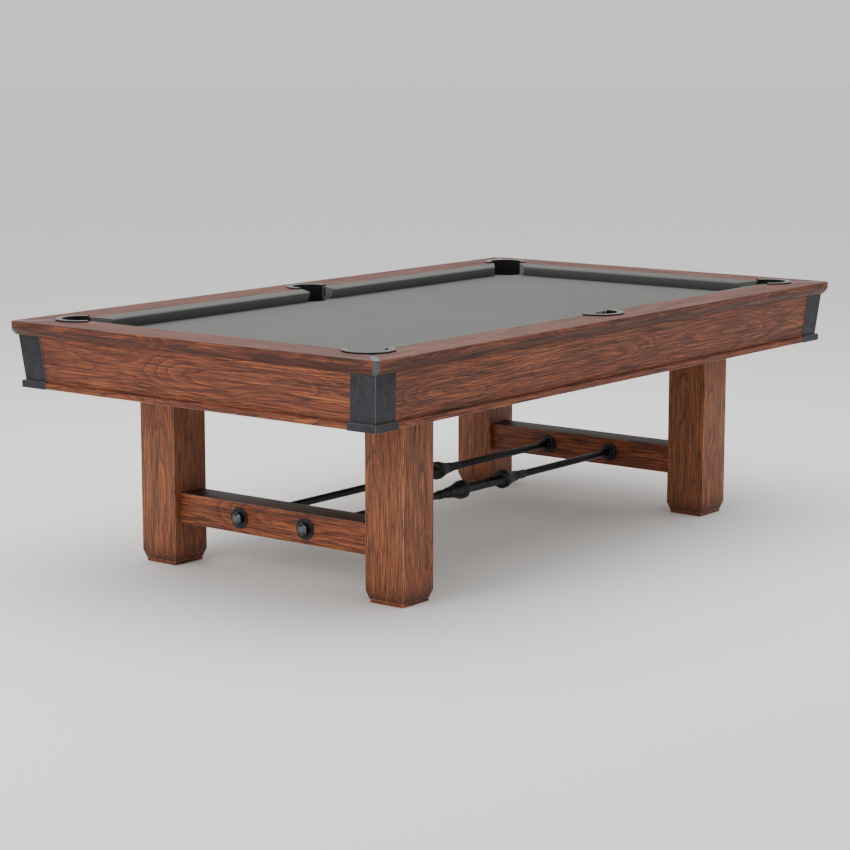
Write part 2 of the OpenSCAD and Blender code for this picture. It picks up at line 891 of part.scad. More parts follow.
// Section of a tapered leg: straight above, tapering in over the last stretch
function leg_section() = [
    [-leg_w / 2 + leg_taper_in, leg_z0], [leg_w / 2 - leg_taper_in, leg_z0],
    [leg_w / 2, leg_z0 + leg_taper_h], [leg_w / 2, beam_z],
    [-leg_w / 2, beam_z], [-leg_w / 2, leg_z0 + leg_taper_h]
];

module leg(sx, sy)
    color(wood)
        difference() {
            quarter(sx, sy)
                difference() {
                    translate([leg_x, leg_y, 0])
                        intersection() {
                            along_x(leg_w)
                                polygon(leg_section());
                            swap_xy()
                                along_x(leg_w)
                                    polygon(leg_section());
                        }
                    translate([leg_x, leg_y, leg_z0 - 1])
                        cylinder(h = stud_top + stud_relief - leg_z0 + 1, r = stud_r + stud_gap);
                    tenon(tenon_gap);
                }
            leg_bolt_shapes(leg_bolt_r + bolt_gap, leg_bolt_r, beam_z + beam_h);
        }

module levelling_foot(sx, sy)
    color(dark_wood)
        quarter(sx, sy)
            translate([leg_x, leg_y, 0]) {
                block([-foot_w / 2, -foot_w / 2, 0], [foot_w / 2, foot_w / 2, foot_h]);
                cylinder(h = stud_top, r = stud_r);
            }

// ---- Stretchers and tie rods ----

// Tenon of the foot stretcher into the left leg, grown by t
module tenon(t)
    translate([(stretcher_x0 + stretcher_x1) / 2, stretcher_y, rod_z])
        translate([-tenon_w / 2 - t, -1, -tenon_w / 2 - t])
            cube([tenon_w + 2 * t, tenon_l + 1 + t, tenon_w + 2 * t]);

module stretcher(sx)
    color(wood)
        quarter(sx, 1)
            difference() {
                union() {
                    block(
                        [stretcher_x0, -stretcher_y + seat_gap, stretcher_z],
                        [stretcher_x1, stretcher_y - seat_gap, stretcher_z + stretcher_h]);
                    for (sy = [-1, 1])
                        quarter(1, sy)
                            tenon(0);
                }
                for (sy = [-1, 1])
                    translate([stretcher_x0 - 1, sy * rod_y, rod_z])
                        rotate([0, 90, 0])
                            cylinder(h = stretcher_t + 2, r = rod_r + rod_gap);
            }

// Places its children on a tie rod's axis, which becomes their Z.
module on_rod(sx, sy, x)
    translate([sx * x, sy * rod_y, rod_z])
        rotate([0, sx * 90, 0])
            children();

// Each rod is two lengths, one from each stretcher, that end inside the turnbuckle.
module tie_rod(sy, shift)
    color(iron)
        for (sx = [-1, 1]) {
            inner = window_l - rod_nose + sx * shift;
            on_rod(sx, sy, inner)
                cylinder(h = stretcher_x1 + washer_t + rod_end_in - inner, r = rod_r);
        }

module rod_washers()
    color(iron)
        for (sx = [-1, 1], sy = [-1, 1])
            on_rod(sx, sy, stretcher_x1)
                difference() {
                    cylinder(h = washer_t, r = washer_r);
                    translate([0, 0, -1])
                        cylinder(h = washer_t + 2, r = rod_r + bolt_gap);
                }

module rod_cap_nuts()
    color(iron)
        for (sx = [-1, 1], sy = [-1, 1])
            on_rod(sx, sy, stretcher_x1 + washer_t)
                difference() {
                    union() {
                        hex_head(nut_r, nut_hex_h);
                        translate([0, 0, nut_hex_h])
                            cylinder(h = nut_h - nut_hex_h, r1 = nut_r * cos(30), r2 = nut_top_r);
                    }
                    translate([0, 0, -1])
                        cylinder(h = rod_end_in + 1.5, r = rod_r + bolt_gap);
                }

module rod_flanges()
    color(iron)
        for (sx = [-1, 1], sy = [-1, 1])
            on_rod(sx, sy, stretcher_x0)
                rotate([180, 0, 0])
                    difference() {
                        union() {
                            cylinder(h = flange_plate_t, r = rod_flange_r);
                            translate([0, 0, flange_plate_t])
                                cylinder(h = flange_hub_l - flange_plate_t, r1 = hub_r, r2 = hub_end_r);
                        }
                        translate([0, 0, -1])
                            cylinder(h = flange_hub_l + 2, r = rod_r + bolt_gap);
                    }

// Half section of a turnbuckle's end, as (radius, distance from the middle of its window)
ring_r = rod_r + ring_wall;
flare_r = rod_r + flare_wall;
collar_r = rod_r + collar_wall;
bar_in = rod_r + bar_gap;
ring_end = window_l + ring_t;
flare_end = ring_end + flare_l;
collar_end = flare_end + collar_l;
ring_round = 4;
flare_steps = 6;
bore_r = rod_r + run_gap;
function end_section() = concat(
    [[bore_r, window_l], [ring_r - ring_round, window_l]],
    [for (a = [-60:30:0]) [
        ring_r - ring_round + ring_round * cos(a), window_l + ring_round + ring_round * sin(a)]],
    [for (i = [0:flare_steps])
        let (u = i / flare_steps)
        [ring_r + (flare_r - ring_r) * sin(90 * u), ring_end + flare_l * u]],
    [[collar_r, flare_end], [collar_r, collar_end], [bore_r, collar_end]]
);

module turnbuckle(sy, x)
    color(iron)
        translate([x, sy * rod_y, rod_z]) {
            for (sx = [-1, 1])
                rotate([0, sx * 90, 0])
                    rotate_extrude()
                        polygon(end_section());
            for (s = [-1, 1])
                quarter(1, s)
                    block(
                        [-window_l - ring_round - 2, bar_in, -bar_h / 2],
                        [window_l + ring_round + 2, bar_in + bar_t, bar_h / 2]);
        }

// ---- Nodes ----

rail_end(-1);  // rail_head
rail_end(1);  // rail_foot
rail_long(-1, 1);  // rail_left_head
rail_long(1, 1);  // rail_left_foot
rail_long(-1, -1);  // rail_right_head
rail_long(1, -1);  // rail_right_foot
cushion_rubber();
pocket_facings();
feather_strips();
cushion_cloth_end(-1);  // cushion_cloth_head
cushion_cloth_end(1);  // cushion_cloth_foot
cushion_cloth_long(-1, 1);  // cushion_cloth_left_head
cushion_cloth_long(1, 1);  // cushion_cloth_left_foot
cushion_cloth_long(-1, -1);  // cushion_cloth_right_head
cushion_cloth_long(1, -1);  // cushion_cloth_right_foot
bed_cloth();
slate(-slate_l / 2, -joint_x - seat_gap);  // slate_head
slate(-joint_x, joint_x);  // slate_middle
slate(joint_x + seat_gap, slate_l / 2);  // slate_foot
pocket_corner(-1, 1);  // pocket_head_left
pocket_corner(-1, -1);  // pocket_head_right
pocket_side(1);  // pocket_side_left
pocket_side(-1);  // pocket_side_right
pocket_corner(1, 1);  // pocket_foot_left
pocket_corner(1, -1);  // pocket_foot_right
corner_straps();
quarter(-1, 1) swap_xy() apron(half_w, half_l);  // apron_head
swap_xy() apron(half_w, half_l);  // apron_foot
apron(half_l, half_w);  // apron_left
quarter(1, -1) apron(half_l, half_w);  // apron_right
quarter(-1, 1) swap_xy() base_moulding(half_w, half_l);  // base_moulding_head
swap_xy() base_moulding(half_w, half_l);  // base_moulding_foot
base_moulding(half_l, half_w);  // base_moulding_left
quarter(1, -1) base_moulding(half_l, half_w);  // base_moulding_right
corner_cap(-1, 1);  // corner_cap_head_left
corner_cap(-1, -1);  // corner_cap_head_right
corner_cap(1, 1);  // corner_cap_foot_left
corner_cap(1, -1);  // corner_cap_foot_right
side_beams();
cross_beams();
rail_bolts();
leg_bolts();
apron_brackets();
leg(-1, 1);  // leg_head_left
leg(-1, -1);  // leg_head_right
leg(1, 1);  // leg_foot_left
leg(1, -1);  // leg_foot_right
levelling_foot(-1, 1);  // levelling_foot_head_left
levelling_foot(-1, -1);  // levelling_foot_head_right
levelling_foot(1, 1);  // levelling_foot_foot_left
levelling_foot(1, -1);  // levelling_foot_foot_right
stretcher(-1);  // stretcher_head
stretcher(1);  // stretcher_foot
tie_rod(1, 0);  // tie_rod_left
tie_rod(-1, right_turnbuckle_x);  // tie_rod_right
turnbuckle(1, 0);  // turnbuckle_left
turnbuckle(-1, right_turnbuckle_x);  // turnbuckle_right
rod_washers();
rod_cap_nuts();
rod_flanges();
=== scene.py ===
"""Pool table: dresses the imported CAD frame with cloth, eased timber and iron, and sets a studio round it."""
import math

import bmesh
import bpy
from bpy.props import FloatProperty, FloatVectorProperty, PointerProperty
from mathutils import Matrix, Vector


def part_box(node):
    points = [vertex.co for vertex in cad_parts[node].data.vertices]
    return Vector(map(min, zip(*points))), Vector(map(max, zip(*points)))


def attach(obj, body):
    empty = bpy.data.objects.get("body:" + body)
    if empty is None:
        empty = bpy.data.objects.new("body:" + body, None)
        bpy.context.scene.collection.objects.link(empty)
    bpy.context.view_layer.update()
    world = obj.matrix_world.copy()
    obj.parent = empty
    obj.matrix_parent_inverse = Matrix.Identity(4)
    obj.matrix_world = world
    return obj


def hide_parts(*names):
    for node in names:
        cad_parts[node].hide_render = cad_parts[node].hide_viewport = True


bl_info = {
    "name": "Pool table",
    "version": (1, 0, 0),
    "blender": (4, 5, 0),
    "location": "3D View > Sidebar > Pool table",
    "description": "Dresses a rustic slate-bed pool table: timber, cloth, ironwork and a studio",
    "category": "Add Mesh",
}

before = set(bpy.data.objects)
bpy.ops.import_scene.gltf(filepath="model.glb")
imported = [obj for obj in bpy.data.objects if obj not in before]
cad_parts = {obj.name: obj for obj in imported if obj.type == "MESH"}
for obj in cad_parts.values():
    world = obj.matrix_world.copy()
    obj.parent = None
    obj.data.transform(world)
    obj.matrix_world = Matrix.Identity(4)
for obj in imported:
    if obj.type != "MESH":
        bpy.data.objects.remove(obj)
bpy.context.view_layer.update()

ENDS = ("head", "foot")
SIDES = ("left", "right")
QUARTERS = tuple(f"{end}_{side}" for end in ENDS for side in SIDES)
POCKETS = QUARTERS + ("side_left", "side_right")
SLATES = ("slate_head", "slate_middle", "slate_foot")

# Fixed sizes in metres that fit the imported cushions. A cushion's section is measured from its nose line
# at the rail's top: back to the rail, back to the rubber's end, and down to just above the bed.
CUSHION_BACK = 0.046
RUBBER_BACK = 0.041
BED_BELOW = 0.0438
# Where the cloth leaves the nose's underside and where it reaches the bed, as (back, height)
UNDERCUT = ((0.006, -0.0300), (0.018, -BED_BELOW))
# What a pocket's mouth takes off each nose line, and how far past that end the cushion may then reach
CORNER_MOUTH = 0.085
SIDE_MOUTH = 0.0665
CORNER_CLEAR = 0.0545
SIDE_CLEAR = 0.0083
# Extra length at each end of a cushion's cloth, for its fold
# A cushion is drawn this much too long at each end, and then cut
SPARE = 0.12
# A rail's outer edges are the long ones this near its rim.
LONG_EDGE = 0.2
RIM = 0.06
# How far from a pocket's middle the bed cloth's rim is cut for it
MOUTH_REACH = 0.075
# Faces of a levelling foot that lie this near its middle are the stud's.
STUD_REACH = 0.02
# A cloth's modelled share of its full thickness
CLOTH_SHARE = 0.9
# How near counts as the same place
NEAR = 0.002


def linear(hex_colour):
    """A colour written as #rrggbb, as linear RGBA."""
    channels = [int(hex_colour[i : i + 2], 16) / 255 for i in (1, 3, 5)]
    return [c / 12.92 if c <= 0.04045 else ((c + 0.055) / 1.055) ** 2.4 for c in channels] + [1.0]


def tint(name, description, hex_colour):
    """A colour that a user can change."""
    return FloatVectorProperty(
        name=name, description=description, subtype="COLOR", size=4, min=0, max=1, default=linear(hex_colour)
    )


def length(name, description, metres):
    """A length that a user can change."""
    return FloatProperty(
        name=name, description=description, unit="LENGTH", min=0, precision=5, default=metres
    )


# ---- What a user can change ----


class PoolTableSizes(bpy.types.PropertyGroup):
    """Sizes of the finish that the CAD leaves to the maker."""

    timber_edge: length("Timber edge", "Rounding of the aprons' and stretchers' edges", 0.0018)
    rail_edge: length("Rail edge", "Rounding of the rails' edges, where glaze is caught", 0.004)
    leg_edge: length("Leg edge", "Rounding of the legs' worn edges", 0.0035)
    iron_edge: length("Iron edge", "Rounding of the ironwork's edges", 0.0007)
    cast_edge: length("Cast edge", "Rounding of the turnbuckles' cast edges", 0.0016)
    cloth: length("Cloth", "Thickness of the worsted cloth", 0.001)
    cloth_fold: length("Cloth fold", "Rounding where the cloth folds over a cushion's end", 0.0012)
    cloth_tuck: length("Cloth tuck", "Rounding where the cloth is tucked into the rail's groove", 0.0022)
    bed_turn_down: length("Bed turn-down", "How far the bed cloth turns down into a pocket", 0.006)
    nose_radius: length("Nose radius", "Radius of the cushion's nose under its cloth", 0.004)
    nose_below: length("Nose below", "Depth of the nose's centre below the rail's top", 0.0115)
    facing_cover: length("Facing cover", "How far the cloth stands out over the rubber facings", 0.0012)
    thread_pitch: length("Thread pitch", "Pitch of the tie rods' threads", 0.0025)
    thread_depth: length("Thread depth", "Depth of the tie rods' threads", 0.0012)
    thread_length: length("Thread length", "Threaded length at the turnbuckle end of a rod", 0.13)
    corner_facing: FloatProperty(
        name="Corner facing",
        description="Angle between a cushion's nose and its end at a corner pocket",
        subtype="ANGLE",
        default=math.radians(142),
    )
    side_facing: FloatProperty(
        name="Side facing",
        description="Angle between a cushion's nose and its end at a side pocket",
        subtype="ANGLE",
        default=math.radians(104),
    )


class PoolTableColours(bpy.types.PropertyGroup):
    """Colours of the finishes."""

    wood_dark: tint("Wood, dark", "Glaze left in the open grain", "#170c0a")
    wood_deep: tint("Wood, deep", "Stained latewood", "#4a2014")
    wood_warm: tint("Wood, warm", "Stained earlywood", "#803b23")
    wood_light: tint("Wood, light", "Where the stain is thin", "#bb6b38")
    wood_red: tint("Wood, red", "Reddish drift of the stain", "#63261b")
    wood_thin: tint("Wood, thin", "Stain rubbed thin over the whole face", "#a0704e")
    wood_worn: tint("Wood, worn", "Rubbed edges", "#c6a892")
    cloth: tint("Cloth", "Steel-grey worsted cloth", "#4c4e4b")
    cloth_fibre: tint("Cloth, fibre", "Lighter fibres of the worsted cloth", "#5e605d")
    iron: tint("Iron", "Blackened iron sheet", "#303036")
    iron_brown: tint("Iron, brown", "Brown tone of the blackened iron", "#2e2624")
    iron_worn: tint("Iron, worn", "Bare iron on rubbed edges", "#8f8f92")
    steel_black: tint("Black steel", "Oil-blacked rods, washers and nuts", "#1b1b1e")
    cast: tint("Cast iron", "Turnbuckle castings", "#3d3c3d")
    plastic: tint("Pocket plastic", "Moulded black pocket liners", "#0c0c0d")
    zinc: tint("Zinc", "Zinc-plated steel", "#a7abae")
    slate: tint("Slate", "Honed slate", "#4b5058")
    rubber: tint("Rubber", "Gum rubber of the cushions", "#8e7d5c")
    pine: tint("Pine", "Planed pine of the frame", "#c39d6d")
    floor: tint("Floor", "Plain pale floor", "#fafaf9")


def sizes():
    return bpy.context.scene.pool_table_sizes


def colours():
    return bpy.context.scene.pool_table_colours


# ---- Materials ----


def feed(tree, node, inputs):
    """Links each input whose value is a socket, and sets the others."""
    for name, value in inputs.items():
        if isinstance(value, bpy.types.NodeSocket):
            tree.links.new(value, node.inputs[name])
        else:
            node.inputs[name].default_value = value


def add(tree, kind, inputs=None, stops=None, **settings):
    """Adds a shader node, sets its settings, and links or sets its inputs; stops fill a colour ramp."""
    made = tree.nodes.new("ShaderNode" + kind)
    for name, value in settings.items():
        setattr(made, name, value)
    feed(tree, made, inputs or {})
    if stops:
        ends = made.color_ramp.elements
        for element, (place, colour) in zip((ends[0], ends[1]), (stops[0], stops[-1])):
            element.position, element.color = place, colour
        for place, colour in stops[1:-1]:
            ends.new(place).color = colour
    return made


def finish_material(name, build):
    """The named material, made when first asked for; build returns the inputs of its shader."""
    made = bpy.data.materials.get(name)
    if made is None:
        made = bpy.data.materials.new(name)
        made.use_nodes = True
        tree = made.node_tree
        place = add(tree, "TexCoord").outputs["Object"]
        feed(tree, tree.nodes["Principled BSDF"], build(tree, colours(), place))
    return made


def stained_timber(along, glaze_and_shade=0.0, thinned=0.0):
    """Wire-brushed softwood, stained red-brown and glazed; the grain runs along the axis named X, Y or Z.

    Brushing leaves the hard rings proud and the dark glaze in the grooves, so the eye sees
    cathedral figure in dark and orange lines, fine dashes, a few knots, and edges rubbed pale.
    Its second argument is the share of dark glaze left on the whole face, and where a high share is given to
    faces that lie in shade it is painted shade; thinned is the share of stain rubbed off.
    """

    def build(tree, look, place):
        pith = add(tree, "Attribute", attribute_name="pith").outputs["Vector"]
        worn = add(tree, "Attribute", attribute_name="worn").outputs["Fac"]
        # Each board's rings are centred on its own pith, close behind its face.
        moved = add(tree, "VectorMath", {0: place, 1: pith}, operation="SUBTRACT")
        split = add(tree, "SeparateXYZ", {0: moved.outputs[0]}).outputs
        order = {"X": (0, 1, 2), "Y": (1, 0, 2), "Z": (2, 0, 1)}[along]
        grain = add(tree, "CombineXYZ", {i: split[axis] for i, axis in enumerate(order)}).outputs[0]

        # Cycles in a metre along the grain and across it, and detail
        patterns = {
            "bend": ((1.6, 0.4, 0.4), 1.0),
            "ripple": ((3.4, 14.0, 14.0), 2.0),
            "shiver": ((9.0, 80.0, 80.0), 3.0),
            "fibre": ((6.5, 480.0, 480.0), 4.0),  # about 2 mm wide and 150 mm long
            "streak": ((3.2, 62.0, 62.0), 4.0),  # about 15 mm wide
            "pore": ((34.0, 760.0, 760.0), 1.0),
            "dash": ((11.0, 250.0, 250.0), 2.0),  # about 4 mm wide
            "drift": ((2.0, 9.0, 9.0), 2.0),
            "scrape": ((8.0, 28.0, 28.0), 1.0),
        }
        clouds = {}
        for name, (cycles, detail) in patterns.items():
            scaled = add(tree, "VectorMath", {0: grain, 1: cycles}, operation="MULTIPLY").outputs[0]
            clouds[name] = add(tree, "TexNoise", {"Vector": scaled, "Scale": 1.0, "Detail": detail}).outputs
        fibre = clouds["fibre"][0]
        streak = clouds["streak"][0]

        # Knots: one in some cells of about 420 x 150 mm
        celled = add(tree, "VectorMath", {0: grain, 1: (2.4, 6.5, 2.6)}, operation="MULTIPLY").outputs[0]
        knot_cell = add(tree, "TexVoronoi", {"Vector": celled, "Scale": 1.0, "Randomness": 0.9}).outputs
        from_knot = knot_cell["Distance"]
        chance = add(tree, "SeparateColor", {0: knot_cell["Color"]}).outputs[0]
        chosen = add(tree, "Math", {0: chance, 1: 0.7}, operation="GREATER_THAN").outputs[0]
        fading = {0: from_knot, 1: 0.0, 2: 0.30, 3: 1.0, 4: 0.0}
        near_knot = add(tree, "MapRange", fading, interpolation_type="SMOOTHERSTEP").outputs[0]
        pull = add(tree, "Math", {0: near_knot, 1: chosen}, operation="MULTIPLY").outputs[0]

        # In metres: the pith's bend either way, the rings' width, and how far ripples and knots shift them
        swing = 0.045 if along == "Z" else 0.08
        ring_width = 0.010
        shifts = ((clouds["ripple"][0], 0.020), (clouds["shiver"][0], 0.004), (pull, 0.034))
        swayed = {0: clouds["bend"]["Color"], 1: (0.0, 2 * swing, 2 * swing)}
        bend = add(tree, "VectorMath", swayed, operation="MULTIPLY").outputs[0]
        flat = add(tree, "VectorMath", {0: grain, 1: (0.02, 1.0, 1.0)}, operation="MULTIPLY").outputs[0]
        heart = add(tree, "VectorMath", {0: flat, 1: bend}, operation="ADD").outputs[0]
        heart = add(tree, "VectorMath", {0: heart, 1: (0.0, swing, swing)}, operation="SUBTRACT").outputs[0]
        radius = add(tree, "VectorMath", {0: heart}, operation="LENGTH").outputs["Value"]
        for pattern, shift in shifts:
            radius = add(tree, "Math", {0: pattern, 1: shift, 2: radius}, operation="MULTIPLY_ADD").outputs[0]
        turns = add(tree, "Math", {0: radius, 1: ring_width}, operation="DIVIDE").outputs[0]
        ring = add(tree, "Math", {0: turns}, operation="FRACT").outputs[0]

        black, half, white = (0, 0, 0, 1), (0.4, 0.4, 0.4, 1), (1, 1, 1, 1)
        dark_stops = [(0.0, white), (0.10, half), (0.26, black), (0.97, black), (1.0, white)]
        hard_stops = [(0.0, black), (0.48, black), (0.84, white), (0.95, black)]
        dark_line = add(tree, "ValToRGB", {0: ring}, stops=dark_stops).outputs[0]
        hard_line = add(tree, "ValToRGB", {0: ring}, stops=hard_stops).outputs[0]
        pore_stops = [(0.30, white), (0.43, black)]
        dash_stops = [(0.34, white), (0.50, black)]
        pores = add(tree, "ValToRGB", {0: clouds["pore"][0]}, stops=pore_stops).outputs[0]
        dashes = add(tree, "ValToRGB", {0: clouds["dash"][0]}, stops=dash_stops).outputs[0]
        broken = add(tree, "MapRange", {0: streak, 1: 0.40, 2: 0.60, 3: 0.15, 4: 1.0}).outputs[0]
        kept = add(tree, "MapRange", {0: fibre, 1: 0.36, 2: 0.62, 3: 0.1, 4: 1.0}).outputs[0]

        tone = add(tree, "Math", {0: fibre, 1: 0.9, 2: -0.14}, operation="MULTIPLY_ADD").outputs[0]
        tone = add(tree, "Math", {0: streak, 1: 0.45, 2: tone}, operation="MULTIPLY_ADD").outputs[0]
        stain = [
            (0.34, look.wood_dark), (0.44, look.wood_deep), (0.56, look.wood_warm), (0.76, look.wood_light)
        ]
        body = add(tree, "ValToRGB", {0: tone}, stops=stain).outputs[0]
        red = add(tree, "MapRange", {0: clouds["drift"][0], 1: 0.42, 2: 0.68, 3: 0.0, 4: 0.5}).outputs[0]
        hard = add(tree, "Math", {0: hard_line, 1: kept}, operation="MULTIPLY").outputs[0]
        hard_share = add(tree, "Math", {0: hard, 1: 0.44}, operation="MULTIPLY").outputs[0]
        soft = add(tree, "Math", {0: dark_line, 1: broken}, operation="MULTIPLY").outputs[0]
        soft_share = add(tree, "Math", {0: soft, 1: 0.72}, operation="MULTIPLY").outputs[0]
        grooves = add(tree, "Math", {0: pores, 1: dashes}, operation="MAXIMUM").outputs[0]
        filled = add(tree, "Math", {0: grooves, 1: 0.68}, operation="MULTIPLY").outputs[0]
        core = add(tree, "MapRange", {0: from_knot, 1: 0.02, 2: 0.075, 3: 0.85, 4: 0.0}).outputs[0]
        core = add(tree, "Math", {0: core, 1: chosen}, operation="MULTIPLY").outputs[0]
        # Rubbing reaches some edges more than others; a negative mark is glaze caught along an edge.
        rub = add(tree, "TexNoise", {"Vector": place, "Scale": 40.0, "Detail": 3.0}).outputs[0]
        rubbed = add(tree, "MapRange", {0: rub, 1: 0.34, 2: 0.56, 3: 0.1, 4: 1.0}).outputs[0]
        rubbed = add(tree, "Math", {0: rubbed, 1: worn}, operation="MULTIPLY", use_clamp=True).outputs[0]
        glaze_and_shade_darkening = add(tree, "Math", {0: worn, 1: -0.85}, operation="MULTIPLY", use_clamp=True).outputs[0]
        if along == "Z":
            # Posts are dark at the floor; it fades out by about 75 mm up, unevenly along the streaks.
            height = add(tree, "SeparateXYZ", {0: place}).outputs[2]
            height = add(tree, "Math", {0: streak, 1: 0.06, 2: height}, operation="MULTIPLY_ADD").outputs[0]
            floor_darkening = add(tree, "MapRange", {0: height, 1: 0.035, 2: 0.105, 3: 0.62, 4: 0.0}).outputs[0]
            glaze_and_shade_darkening = add(tree, "Math", {0: glaze_and_shade_darkening, 1: floor_darkening}, operation="MAXIMUM").outputs[0]
        # A high glaze share on faces that lie in shade is painted shade.
        glaze_and_shade_darkening = add(tree, "Math", {0: glaze_and_shade_darkening, 1: glaze_and_shade}, operation="MAXIMUM").outputs[0]
        # Each lies over the ones before it.
        layers = (
            (red, look.wood_red),
            (thinned, look.wood_thin),
            (hard_share, look.wood_light),
            (soft_share, look.wood_dark),
            (filled, look.wood_dark),
            (core, look.wood_dark),
            (rubbed, look.wood_worn),
            (glaze_and_shade_darkening, look.wood_dark),
        )
        for share, colour in layers:
            body = add(tree, "Mix", {0: share, 6: body, 7: colour}, data_type="RGBA").outputs[2]

        sheen = add(tree, "MapRange", {0: tone, 1: 0.2, 2: 0.9, 3: 0.62, 4: 0.44}).outputs[0]
        # Brushed grooves stand about 0.5 mm below the rings, and the scraped face rolls gently.
        relief = add(tree, "Math", {0: fibre, 1: hard}, operation="ADD").outputs[0]
        for groove in (soft, grooves):
            relief = add(tree, "Math", {0: relief, 1: groove}, operation="SUBTRACT").outputs[0]
        brushed = add(tree, "Bump", {"Height": relief, "Distance": 0.0007, "Strength": 0.5}).outputs[0]
        rolling = {"Height": clouds["scrape"][0], "Distance": 0.004, "Strength": 0.3, "Normal": brushed}
        return {
            "Base Color": body,
            "Roughness": sheen,
            "Normal": add(tree, "Bump", rolling).outputs[0],
            "Specular IOR Level": 0.3,
        }

    return finish_material(f"stained_timber_{along.lower()}_{round(glaze_and_shade * 100)}", build)


def worsted_cloth():
    """Napless worsted wool and nylon cloth: matte, with a fine flat weave and faint mottling."""

    def build(tree, look, place):
        # Threads are 0.5 mm apart; drawn at 1.2 mm, or the weave would not show.
        threads = {"Vector": place, "Scale": 262.0, "Distortion": 1.2, "Detail": 1.0}
        warp, weft = (
            add(tree, "TexWave", threads, wave_type="BANDS", bands_direction=way).outputs["Fac"]
            for way in "XY"
        )
        weave = add(tree, "Math", {0: warp, 1: weft}, operation="MAXIMUM").outputs[0]
        fuzz = add(tree, "TexNoise", {"Vector": place, "Scale": 900.0, "Detail": 3.0}).outputs[0]
        mottle = add(tree, "TexNoise", {"Vector": place, "Scale": 6.0, "Detail": 3.0}).outputs[0]
        mix = 0.0
        for pattern, share in ((weave, 0.22), (fuzz, 0.40), (mottle, 0.30)):
            mix = add(tree, "Math", {0: pattern, 1: share, 2: mix}, operation="MULTIPLY_ADD").outputs[0]
        yarns = [(0.15, look.cloth), (0.95, look.cloth_fibre)]
        shade = add(tree, "ValToRGB", {0: mix}, stops=yarns).outputs[0]
        relief = add(tree, "Math", {0: weave, 1: fuzz}, operation="ADD").outputs[0]
        bump = add(tree, "Bump", {"Height": relief, "Distance": 0.0003, "Strength": 0.35})
        return {
            "Base Color": shade,
            "Normal": bump.outputs[0],
            "Roughness": 0.92,
            "Sheen Weight": 0.12,
            "Sheen Roughness": 0.5,
            "Specular IOR Level": 0.2,
        }

    return finish_material("worsted_cloth", build)


def blackened_iron():
    """Hammered iron sheet, heat-blackened and waxed: soft dents, upright brush marks, bright edges."""

    def build(tree, look, place):
        worn = add(tree, "Attribute", attribute_name="worn").outputs["Fac"]
        # Hammer marks about 9 mm across
        marks = {"Vector": place, "Scale": 110.0, "Smoothness": 0.9}
        dents = add(tree, "TexVoronoi", marks, feature="SMOOTH_F1").outputs["Distance"]
        strokes = {0: place, 1: (420.0, 420.0, 16.0)}
        upright = add(tree, "VectorMath", strokes, operation="MULTIPLY").outputs[0]
        brushing = {"Vector": upright, "Scale": 1.0, "Detail": 3.0, "Roughness": 0.6}
        brush = add(tree, "TexNoise", brushing).outputs[0]
        clouding = {"Vector": place, "Scale": 22.0, "Detail": 4.0, "Roughness": 0.6}
        cloud = add(tree, "TexNoise", clouding).outputs[0]
        browned = add(tree, "MapRange", {0: cloud, 1: 0.45, 2: 0.7, 3: 0.0, 4: 0.7}).outputs[0]
        skin = add(tree, "Mix", {0: browned, 6: look.iron, 7: look.iron_brown}, data_type="RGBA").outputs[2]
        streaked = add(tree, "MapRange", {0: brush, 1: 0.5, 2: 0.85, 3: 0.0, 4: 0.16}).outputs[0]
        skin = add(tree, "Mix", {0: streaked, 6: skin, 7: look.iron_worn}, data_type="RGBA").outputs[2]
        rubbed = add(tree, "MapRange", {0: cloud, 1: 0.3, 2: 0.6, 3: 0.35, 4: 0.95}).outputs[0]
        rubbed = add(tree, "Math", {0: rubbed, 1: worn}, operation="MULTIPLY").outputs[0]
        skin = add(tree, "Mix", {0: rubbed, 6: skin, 7: look.iron_worn}, data_type="RGBA").outputs[2]
        dull = add(tree, "MapRange", {0: cloud, 1: 0.2, 2: 0.8, 3: 0.38, 4: 0.62}).outputs[0]
        relief = add(tree, "Math", {0: brush, 1: 0.25, 2: dents}, operation="MULTIPLY_ADD").outputs[0]
        bump = add(tree, "Bump", {"Height": relief, "Distance": 0.0008, "Strength": 0.35})
        return {
            "Base Color": skin,
            "Roughness": dull,
            "Normal": bump.outputs[0],
            "Metallic": 0.75,
        }

    return finish_material("blackened_iron", build)


def burnished_iron():
    """Iron strip rubbed bright under wax: grey, with long scratches that catch the light."""

    def build(tree, look, place):
        # Scratches about 1 mm apart
        scratch = add(tree, "TexNoise", {"Vector": place, "Scale": 320.0, "Detail": 4.0}).outputs[0]
        shade = add(tree, "MapRange", {0: scratch, 1: 0.35, 2: 0.65, 3: 0.55, 4: 0.8}).outputs[0]
        skin = add(tree, "Mix", {0: shade, 6: look.iron_worn, 7: look.iron}, data_type="RGBA").outputs[2]
        dull = add(tree, "MapRange", {0: scratch, 3: 0.22, 4: 0.38}).outputs[0]
        return {
            "Base Color": skin,
            "Roughness": dull,
            "Metallic": 1.0,
        }

    return finish_material("burnished_iron", build)


